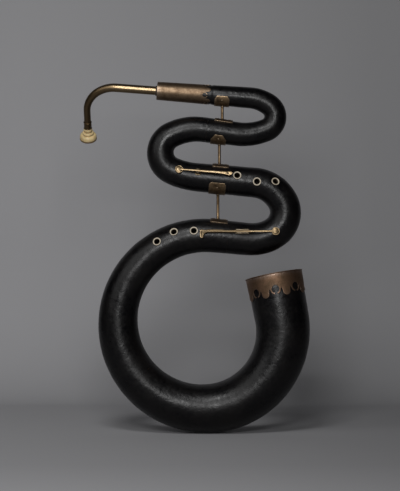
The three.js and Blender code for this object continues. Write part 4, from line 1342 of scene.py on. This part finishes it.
def wrapped(mesh, tube, radius, first, lift, distance_of):
    """Rolls an unrolled sheet round the tube and joins its ends."""
    def place(co):
        distance = distance_of(co.y)
        return tube.point(distance, first + co.x / radius, tube.skin(distance) + lift + co.z)

    bent(mesh, place)
    bmesh.ops.remove_doubles(mesh, verts=mesh.verts, dist=WELD)
    return outwards(mesh)


class SERPENT_OT_ferrule(bpy.types.Operator):
    """Models the dagged brass ferrule of the crook's socket"""

    bl_idname = "serpent.ferrule"
    bl_label = "Socket ferrule"

    def execute(self, context):
        tube = Tube()
        ends = tube.ends
        radius = tube.skin(ends.ferrule_length)
        band = dagged_band(ends, "ferrule", radius, ends.ferrule_length - 0.6 * MM)
        wrapped(band, tube, radius, ends.ferrule_first, -ends.ferrule_wall,
                lambda y: ends.ferrule_length - y)
        outer, mouth = tube.skin(0), tube.bore(0)
        cap = ends.ferrule_cap
        end_plate = turned([
            (mouth, cap), (mouth, 0.3 * MM), (mouth + 0.3 * MM, 0), (outer - 0.9 * MM, 0),
            *arc(outer - 0.9 * MM, 0.9 * MM, 0.9 * MM, -90, 0, 6)[1:], (outer, cap),
            (outer - ends.ferrule_wall, cap + 0.3 * MM), (mouth, cap + 0.3 * MM)],
            64, tube.axis(0))
        piece("socket_ferrule_brass", joined(band, end_plate), "body", "ferrule_brass",
              "socket_ferrule")
        return {"FINISHED"}


class SERPENT_OT_garland(bpy.types.Operator):
    """Models the dagged brass garland of the bell, with its rolled rim and turned-in lip"""

    bl_idname = "serpent.garland"
    bl_label = "Bell garland"

    def execute(self, context):
        tube = Tube()
        ends, fit = tube.ends, tube.size.fit
        start = tube.length - ends.garland_height - ends.garland_tips
        radius = tube.skin(start)
        roll = ends.garland_roll
        band = dagged_band(ends, "garland", radius, tube.length - roll - start)
        wrapped(band, tube, radius, ends.garland_first, fit, lambda y: start + y)
        skin, bore = tube.skin(tube.length) + fit, tube.bore(tube.length)
        edge = skin + ends.garland_wall
        rim = turned([
            (skin + 0.1 * MM, -2.2 * roll), (edge - 0.1 * MM, -2.2 * roll),
            *arc(edge - 0.1 * MM, -roll, roll, -75, 90, 12),
            (bore + 0.5 * MM, 0), *arc(bore + 0.5 * MM, -0.5 * MM, 0.5 * MM, 90, 180, 4)[1:],
            (bore, -roll), (skin + 0.1 * MM, -roll)], 96, tube.axis(tube.length))
        piece("bell_garland_brass", joined(band, rim), "body", "garland_brass", "bell_garland")
        return {"FINISHED"}


class SERPENT_OT_keys(bpy.types.Operator):
    """Models both keys: lever, pad, saddle, pin, spring and tone-hole bush"""

    bl_idname = "serpent.keys"
    bl_label = "Keys"

    def execute(self, context):
        tube = Tube()
        upper, lower = both_keys(tube)
        for key, plan in ((upper, leaf_plan(upper)), (lower, hook_plan(lower))):
            for part, mesh, body, slot, node, look in (
                ("lever_brass", lever_mesh(key, plan), key.name, "key_brass", "lever", None),
                ("pad_leather", pad_mesh(key), key.name, "pad_leather", "pad", None),
                # The saddles take the dimmed brass look: painted shade.
                ("saddle_brass", saddle_mesh(tube, key), "body", "key_brass", "saddle",
                 "saddle_brass"),
                ("pin_brass", pin_mesh(tube, key), "body", "key_brass", "hinge_pin", None),
                ("bush", tone_bush_mesh(tube, key), "body", "bone", "tone_bush", None),
            ):
                piece(f"{key.name}_{part}", mesh, body, slot, f"{key.name}_{node}", look)
            self.add_spring(key)
        return {"FINISHED"}

    def add_spring(self, key):
        """Leaf spring, curved from its seat on the saddle to under its lever."""
        k = settings().keys
        seat, edge, end = key.spring
        mesh = strap(leaning(seat, edge, end, 16), k.spring_width, k.spring_thickness, 0.15 * MM)
        made = piece(f"{key.name}_leaf_spring", moved(mesh, key.frame), "body", "key_brass",
                     f"{key.name}_spring")
        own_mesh(made)


def strap(line, width, thickness, rounding):
    """Flat strip of metal that follows a line of (x, height) points."""
    low, high = min(x for x, _ in line), max(x for x, _ in line)
    half = width / 2
    outline = [(low, -half), (high, -half), (high, half), (low, half)]
    mesh = plate(outline, thickness, rounding)
    cut_evenly(mesh, ACROSS_X, low, high, 1.2 * MM)
    return bent(mesh, lambda co: Vector((co.x, co.y, co.z + height_on(line, co.x)
                                         - thickness / 2)))


def leaf_plan(key):
    """Plan of a lever whose touch is a leaf that swells to one side, with a round tip."""
    half, reach, leaf = key.width / 2, key.touch_reach, 21 * MM
    shank = [(key.pad_reach, 0.72 * half), (0.5 * key.pad_reach, 0.74 * half),
             (7 * MM, 0.84 * half), (0, 0.92 * half), (-8 * MM, 0.98 * half),
             (-12 * MM, 1.12 * half), (-0.5 * reach, 1.16 * half)]
    full, slim = (
        spline([*shank, *[(at * leaf - reach, share * half) for at, share in zip(
            (1, 0.6, 0.34, 0.13, 0.03, 0), shares)]], 5)
        for shares in ((1.3, 1.8, 2.1, 1.6, 0.85, 0.2), (1.2, 1.28, 1.32, 1.05, 0.55, -0.1)))
    return [*full, *[(x, -y) for x, y in reversed(slim)]]


def hook_plan(key):
    """Plan of a lever whose touch turns off square to one side."""
    half, reach = key.width / 2, key.touch_reach
    tip = 4.0 * MM
    bottom = half - 18.3 * MM + tip
    top = spline([
        (key.pad_reach, 0.88 * half), (0.5 * key.pad_reach, 0.9 * half), (20 * MM, 0.98 * half),
        (-20 * MM, 1.04 * half), (-0.55 * reach, 1.4 * half), (16 * MM - reach, 1.3 * half),
        (10 * MM - reach, 1.22 * half), (5 * MM - reach, 1.45 * half),
        (1.6 * MM - reach, 1.25 * half),
        (-0.5 * MM - reach, 0.1 * half), (-0.6 * MM - reach, -1.6 * half)], 5)
    foot = arc(tip - reach, bottom, tip, 180, 360, 14)
    inner = spline([
        foot[-1], (2 * tip - reach + 0.8 * MM, -3.1 * half),
        (2 * tip - reach + 2.2 * MM, -2.0 * half), (2 * tip - reach + 5.5 * MM, -1.45 * half),
        (2 * tip - reach + 11 * MM, -1.15 * half), (-0.55 * reach, -1.05 * half),
        (-20 * MM, -1.0 * half), (20 * MM, -0.98 * half), (0.5 * key.pad_reach, -0.9 * half),
        (key.pad_reach, -0.88 * half)], 5)
    return [*top, *foot[1:], *inner[1:]]


def lever_mesh(key, plan):
    """Lever with its hinge barrel and pad cup."""
    k, fit = settings().keys, settings().tube.fit
    thick = k.lever_thickness
    mesh = plate(plan, thick, 0.36 * thick, None, 3)
    cut_evenly(mesh, ACROSS_X, -key.touch_reach, key.pad_reach, 1.4 * MM)
    cut_across(mesh, ACROSS_Y, [key.width * share for share in (-0.6, -0.25, 0, 0.25, 0.6)])
    if key.name == "upper_key":
        dish, spread = (7.5 * MM - key.touch_reach, 0.9 * MM), (7 * MM, 4 * MM)
    else:
        dish, spread = (4.0 * MM - key.touch_reach, -7 * MM), (3.4 * MM, 7 * MM)

    def place(co):
        off = hypot((co.x - dish[0]) / spread[0], (co.y - dish[1]) / spread[1])
        crown = 0.0
        if co.z > 0.9 * thick:
            crown = 0.8 * MM * max(0, 1 - (2 * co.y / key.width) ** 2)
            crown -= 1.0 * MM * (1 - off * off) ** 2 if off < 1 else 0
        return Vector((co.x, co.y, co.z + height_on(key.line, co.x) - thick / 2 + crown))

    bent(mesh, place)
    across = laid_down(z=k.pin_height)
    bore = k.pin_radius + fit / 2
    half = key.width / 2
    mesh = carved(mesh, rod(bore, -2 * half, 2 * half, across, 24))
    lip = 0.35 * MM
    barrel = turned([
        (bore, -half), (k.barrel_radius - lip, -half), (k.barrel_radius, lip - half),
        (k.barrel_radius, half - lip), (k.barrel_radius - lip, half), (bore, half)], 32, across)
    wide, high, low = k.cup_diameter / 2, k.cup_height, key.cup_bottom
    cup = turned([
        (0, low), *spline([
            (wide - 0.5 * MM, low), (wide, low + 0.35 * MM), (wide, low + 0.5 * high),
            (wide - 0.7 * MM, low + 0.68 * high), (wide - 1.7 * MM, low + 0.66 * high),
            (0.6 * wide, low + 0.86 * high), (0.3 * wide, low + 0.97 * high),
            (0.24 * wide, low + 0.99 * high), (0.2 * wide, low + 1.12 * high),
            (0.1 * wide, low + 1.17 * high), (0, low + 1.18 * high)], 3)],
        48, Matrix.Translation((key.pad_reach, 0, 0)))
    return moved(joined(mesh, barrel, cup), key.frame)


def pad_mesh(key):
    k, fit = settings().keys, settings().tube.fit
    low, radius, thick = key.bush_top + fit, k.pad_diameter / 2, k.pad_thickness
    round_edge = arc(radius - thick / 2, low + thick / 2, thick / 2, -90, 90, 10)
    mesh = turned([(0, low), (0.3 * radius, low), (0.6 * radius, low), *round_edge,
                   (0, low + thick)], 40)
    return moved(moved(mesh, Matrix.Translation((key.pad_reach, 0, 0))), key.frame)


def pin_mesh(tube, key):
    """Hinge pin with a riveted head outside each ear."""
    k, fit = settings().keys, tube.size.fit
    half = key.width / 2 + fit + k.ear_thickness
    head, radius = 0.5 * MM, k.pin_radius
    side = [(0, half + head), (0.6 * radius, half + 0.85 * head),
            (1.35 * radius, half + 0.3 * head), (1.4 * radius, half), (radius, half)]
    profile = [*side, *[(r, -h) for r, h in reversed(side)]]
    across = laid_down(z=k.pin_height)
    return moved(turned(profile, 24, across), key.frame)


def tone_bush_mesh(tube, key):
    k = settings().keys
    top, outer, inner = key.bush_top, k.tone_bush / 2, k.tone_hole / 2
    bottom = key.tone_height - tube.size.leather_thickness - tube.size.wood_wall + tube.size.fit
    profile = [(inner, bottom), (outer, bottom), (outer, top - 0.5 * MM),
               (outer - 0.15 * MM, top - 0.15 * MM), (outer - 0.5 * MM, top),
               (inner + 0.4 * MM, top), (inner, top - 0.4 * MM)]
    return turned(profile, 40, key.tone_hole()[1])


def saddle_mesh(tube, key):
    """Saddle: a foot bent to the tube, an ear each side of the lever, and its screws."""
    k, fit = settings().keys, tube.size.fit
    long, wide, thick = key.saddle_length, key.saddle_width, k.saddle_thickness
    span = long + 4 * MARGIN
    low, high = key.pivot - span, key.pivot + span
    turn_in = min(wide / 2, 6 * MM)
    corners = [*arc(long / 2 - turn_in, wide / 2 - turn_in, turn_in, 90, 0, 8),
               *arc(long / 2 - turn_in, turn_in - wide / 2, turn_in, 0, -90, 8)]
    foot = plate([*corners, *[(-x, -y) for x, y in corners]], thick, 0.3 * thick)
    cut_evenly(foot, ACROSS_X, -long / 2, long / 2, 2.5 * MM)
    cut_evenly(foot, ACROSS_Y, -wide / 2, wide / 2, 2 * MM)
    bent(foot, lambda co: tube.settle(key.frame @ Vector((co.x, co.y, 0)), low, high,
                                      fit + co.z))
    ears = [ear_mesh(tube, key, side) for side in (1, -1)]
    ears_end, screw, inset = key.width / 2 + fit + k.ear_thickness, 1.25 * MM, 2.6 * MM
    if wide / 2 - ears_end > 2 * MM:
        spots = [(0, side * (ears_end + wide / 2) / 2) for side in (1, -1)]
    else:
        spots = [(side * (long / 2 - inset), 0) for side in (1, -1)]
    screws = []
    for x, y in spots:
        point = tube.settle(key.frame @ Vector((x, y, 0)), low, high, fit + thick)
        middle = tube.axis(tube.near(point, low, high)).translation
        screws.append(screw_mesh(screw, frame_of(point, key.frame.col[0].xyz, point - middle)))
    return outwards(joined(foot, *ears, *screws))


def ear_mesh(tube, key, side):
    """Ear of a saddle, standing on its foot, with the pin through it."""
    k, fit = settings().keys, tube.size.fit
    foot, top = key.saddle_length / 2 - 0.6 * MM, k.pin_height + k.ear_rise
    curve = leaning((foot, k.saddle_thickness), (foot, top), (key.ear_top / 2, top), 14)
    base = [(foot - 2 * foot * i / 12, -1.0) for i in range(13)]
    outline = [*curve, *flipped(curve), *flipped(base)]
    near = key.width / 2 + fit
    end = near + k.ear_thickness if side > 0 else -near
    span = key.saddle_length + 4 * MARGIN
    mesh = plate([(x, max(z, 0)) for x, z in outline], k.ear_thickness, 0.3 * MM,
                 lambda a, b: max(a.y, b.y) < TINY)
    moved(mesh, laid_down(y=end))
    for vert in mesh.verts:
        if vert.co.z < TINY:
            point = tube.settle(key.frame @ vert.co, key.pivot - span, key.pivot + span,
                                fit + 0.4 * k.saddle_thickness)
            vert.co = key.frame.inverted() @ point
    return moved(mesh, key.frame)


def screw_mesh(radius, placing):
    """Low round screw head with a slot."""
    high = 0.45 * radius
    head = turned([(0, -0.5 * MM), (radius, -0.5 * MM), (radius, 0.35 * high),
                   (0.85 * radius, 0.75 * high), (0.5 * radius, high), (0, 1.05 * high)], 20)
    slot = bmesh.new()
    bmesh.ops.create_cube(slot, size=1)
    moved(slot, Matrix.Translation((0, 0, 0.95 * high))
          @ Matrix.Diagonal((3 * radius, 0.32 * radius, 0.8 * high, 1)))
    return moved(carved(head, slot), placing)


class SERPENT_OT_stays(bpy.types.Operator):
    """Models the three stays: a rod between a plate above and a plate below"""

    bl_idname = "serpent.stays"
    bl_label = "Stays"

    def execute(self, context):
        tube = Tube()
        runs, ends = tube.runs, tube.run_ends
        great = tube.great["start"] + settings().route.great_bow_radius
        for name, above, side, low, high, base, top, turn, chamfer, under in (
            ("upper_stay", 144 * MM, -1, runs[1]["start"] - MARGIN, ends[1],
             32.8, 23, 84, 7, 40),
            ("middle_stay", runs[1]["start"] + 39 * MM, 1, runs[2]["start"], ends[2],
             34, 17, 71, 9.5, 36),
            ("lower_stay", runs[2]["start"] + 47 * MM, -1, runs[3]["start"], great,
             37, 30, 74, 4, 37),
        ):
            below = tube.at_x(tube.axis(above).translation.x, low, high)
            for part, mesh in (
                ("rod", self.rod_mesh(tube, above, below)),
                ("upper_plate", self.plate_mesh(tube, above, side, base, top, turn, chamfer)),
                ("lower_plate", self.plate_mesh(tube, below, side, under, under, 38, 0)),
            ):
                piece(f"{name}_{part}_brass", mesh, "body", "stay_brass", f"{name}_{part}")
        return {"FINISHED"}

    def rod_mesh(self, tube, above, below):
        """Upright rod, a little wider where it meets its plates."""
        stays, fit = settings().stays, tube.size.fit
        high, low = tube.axis(above).translation, tube.axis(below).translation
        top = high.z - tube.skin(above) - stays.plate_thickness - fit
        bottom = low.z + tube.skin(below) + stays.plate_thickness + fit
        radius, sink = stays.rod_radius, 0.8 * MM
        ends = [(0, 0), (1.35 * radius, 0), (1.35 * radius, 0.9 * MM), (1.1 * radius, 1.7 * MM),
                (radius, 3 * MM)]
        profile = [(r, bottom - sink + h) for r, h in ends]
        profile += [(r, top + sink - h) for r, h in reversed(ends)]
        return turned(profile, 32, Matrix.Translation((high.x, high.y, 0)))

    def plate_mesh(self, tube, distance, side, base, top, turn, chamfer):
        """Plate bent round the tube, its far corners cut off, and its screws."""
        stays, fit = settings().stays, tube.size.fit
        radius = tube.skin(distance)
        reach = radians(turn)
        half = base * MM / 2
        corner = [(half, radius * reach)]
        if chamfer:
            cut = reach - acos(clamp(cos(reach) + chamfer * MM / radius))
            corner = [(half, radius * (reach - cut)), (top * MM / 2, radius * reach)]
        loop = [*corner, *flipped(corner)]
        loop += [(-x, -y) for x, y in loop]
        mesh = plate(loop, stays.plate_thickness, 0.4 * MM)
        cut_evenly(mesh, ACROSS_Y, -radius * reach, radius * reach, 1.6 * MM)
        cut_evenly(mesh, ACROSS_X, -half, half, 4 * MM)
        facing = side * pi / 2

        def place(co):
            at = distance + co.x
            return tube.point(at, facing + co.y / radius, tube.skin(at) + fit + co.z)

        bent(mesh, place)
        screws = []
        spots = [(0, 0.72 * reach), (0, -0.72 * reach)] if chamfer else [
            (0.32 * base * MM, 0), (-0.32 * base * MM, 0)]
        for x, y in spots:
            at, way = distance + x, facing + y
            point = tube.point(at, way, tube.skin(at) + fit + stays.plate_thickness)
            screws.append(screw_mesh(1.9 * MM, frame_of(
                point, tube.axis(at).col[2].xyz, tube.way_out(at, way))))
        return outwards(joined(mesh, *screws))


class CrookLine:
    """Middle line of the crook, from its inner end to the mouthpiece."""

    def __init__(self):
        c = settings().crook
        self.size = c
        self.legs = [straight(c.insert + c.straight), bend(c.bend_radius, c.bend),
                     straight(c.leg)]
        self.length = lay_out(self.legs, 0)
        tube = Tube()
        self.socket = tube.axis(0)
        self.out = -self.socket.col[2].xyz
        self.down = tube.way_out(0, 1.5 * pi - c.swing)

    def frame(self, distance):
        """Placing matrix at a distance from the inner end, Z onward."""
        x, z, heading = along_legs(self.legs, distance)
        place = self.socket.translation + self.out * (x - self.size.insert) + self.down * z
        onward = self.out * cos(heading) + self.down * sin(heading)
        return frame_of(place, self.out.cross(self.down), onward)

    def outer(self, distance):
        c = self.size
        share = clamp((distance - c.insert - c.straight) / self.legs[1]["length"])
        return c.radius + (c.end_radius - c.radius) * share


class SERPENT_OT_crook(bpy.types.Operator):
    """Models the brass crook, the ring on its end and the thread on its tenon"""

    bl_idname = "serpent.crook"
    bl_label = "Crook"

    def execute(self, context):
        line = CrookLine()
        c, fit = line.size, settings().tube.fit
        steps = ceil(line.length / (3 * MM))
        places = [line.length * i / steps for i in range(steps + 1)]
        outer = rings(line.frame, line.outer, places)
        inner = rings(line.frame, lambda d: line.outer(d) - c.wall, places)
        piece("crook_tube_brass", tube_wall(outer, inner, 48), "crook", "crook_brass", "crook")
        bore, wall = c.end_radius + fit / 2, c.end_radius + fit + c.ring_wall
        bead = 0.35 * MM
        ring = [(bore, -c.ring_length), (wall - bead, -c.ring_length),
                *arc(wall - bead, bead * 2 - c.ring_length, bead * 2, -90, 90, 8),
                (wall - bead, 4.5 * bead - c.ring_length), (wall - bead, -5 * bead),
                *arc(wall - bead, -2 * bead, bead * 2, -90, 90, 8), (bore, 0)]
        piece("crook_end_ring", turned(ring, 48, line.frame(line.length)), "crook",
              "crook_brass", "crook_ring")
        piece("thread_lapping", self.lapping_mesh(line, fit), "crook_lapping", "thread",
              "crook_lapping")
        return {"FINISHED"}

    def lapping_mesh(self, line, fit):
        """Turns of waxed thread side by side, the last of them outside the socket."""
        c = line.size
        inner, outer = c.radius + fit / 3, c.radius + fit + c.lapping
        turns = 45
        shown = c.insert + 3 * MM
        pitch = shown / turns
        ridges = []
        for i in range(turns):
            ridges += [(outer - 0.25 * MM, pitch * i), (outer - 0.06 * MM, pitch * (i + 0.2)),
                       (outer, pitch * (i + 0.5)), (outer - 0.06 * MM, pitch * (i + 0.8))]
        return turned([(inner, 0), *ridges, (outer - 0.25 * MM, shown), (inner, shown)], 40,
                      line.frame(0))


# Outline from the collar to the rim: shares of the rim's radius and of the height
MOUTHPIECE = (
    (0.43, 0), (0.46, 0.02), (0.495, 0.07), (0.507, 0.135), (0.49, 0.2), (0.45, 0.245),
    (0.4, 0.262), (0.395, 0.29), (0.44, 0.31), (0.59, 0.325), (0.655, 0.36), (0.676, 0.405),
    (0.662, 0.445), (0.61, 0.47), (0.58, 0.484), (0.60, 0.505), (0.73, 0.522), (0.85, 0.56),
    (0.92, 0.615), (0.96, 0.685), (0.982, 0.77), (0.984, 0.83), (0.97, 0.866), (0.975, 0.88),
    (1.0, 0.905), (1.0, 0.94), (0.97, 0.978), (0.91, 0.998), (0.85, 1.0), (0.795, 0.988),
    (0.765, 0.965),
)


class SERPENT_OT_mouthpiece(bpy.types.Operator):
    """Models the turned mouthpiece with its beads and cup"""

    bl_idname = "serpent.mouthpiece"
    bl_label = "Mouthpiece"

    def execute(self, context):
        line = CrookLine()
        m, c, fit = settings().mouthpiece, line.size, settings().tube.fit
        shank = c.end_radius - c.wall - fit / 2
        outside = spline([(radius * m.rim_radius, fit + height * m.height)
                          for radius, height in MOUTHPIECE], 4)
        rim = fit + m.height
        cup = [(m.cup_radius * cos(turn), rim - 1.0 * MM - (m.cup_depth - 1.0 * MM) * sin(turn))
               for turn in (i / 14 * acos(m.throat_radius / m.cup_radius) for i in range(15))]
        throat = m.throat_radius
        profile = [(throat, -m.shank), (shank - 0.7 * MM, -m.shank),
                   (shank - 0.5 * MM, 0.3 * MM - m.shank), (shank, 0), *outside, *cup,
                   (throat, cup[-1][1] - 1.2 * MM)]
        piece("mouthpiece_ivory", turned(profile, 64, line.frame(line.length)), "mouthpiece",
              "ivory", "mouthpiece")
        return {"FINISHED"}


class SERPENT_PT_panel(bpy.types.Panel):
    """Sizes and colours of the serpent, and the operators that model it"""

    bl_label = "Serpent"
    bl_idname = "SERPENT_PT_panel"
    bl_space_type = "VIEW_3D"
    bl_region_type = "UI"
    bl_category = "Serpent"

    def draw(self, context):
        for operator in OPERATORS:
            self.layout.operator(operator.bl_idname)
        for key in GROUPS:
            values = getattr(context.scene.serpent, key)
            box = self.layout.box()
            box.label(text=label(key))
            for name in values.__annotations__:
                box.prop(values, name)


OPERATORS = (
    SERPENT_OT_stage, SERPENT_OT_leather, SERPENT_OT_wood, SERPENT_OT_finger_bushes,
    SERPENT_OT_ferrule, SERPENT_OT_garland, SERPENT_OT_keys, SERPENT_OT_stays,
    SERPENT_OT_crook, SERPENT_OT_mouthpiece,
)
CLASSES = (*GROUPS.values(), SerpentSettings, *OPERATORS, SERPENT_PT_panel)


def register():
    for each in CLASSES:
        bpy.utils.register_class(each)
    bpy.types.Scene.serpent = PointerProperty(type=SerpentSettings, name="Serpent",
                                              description="Sizes and colours of the serpent")


def unregister():
    del bpy.types.Scene.serpent
    for each in reversed(CLASSES):
        bpy.utils.unregister_class(each)


def main():
    register()
    for operator in OPERATORS:
        group_name, name = operator.bl_idname.split(".")
        getattr(getattr(bpy.ops, group_name), name)()


if __name__ == "__main__":
    main()
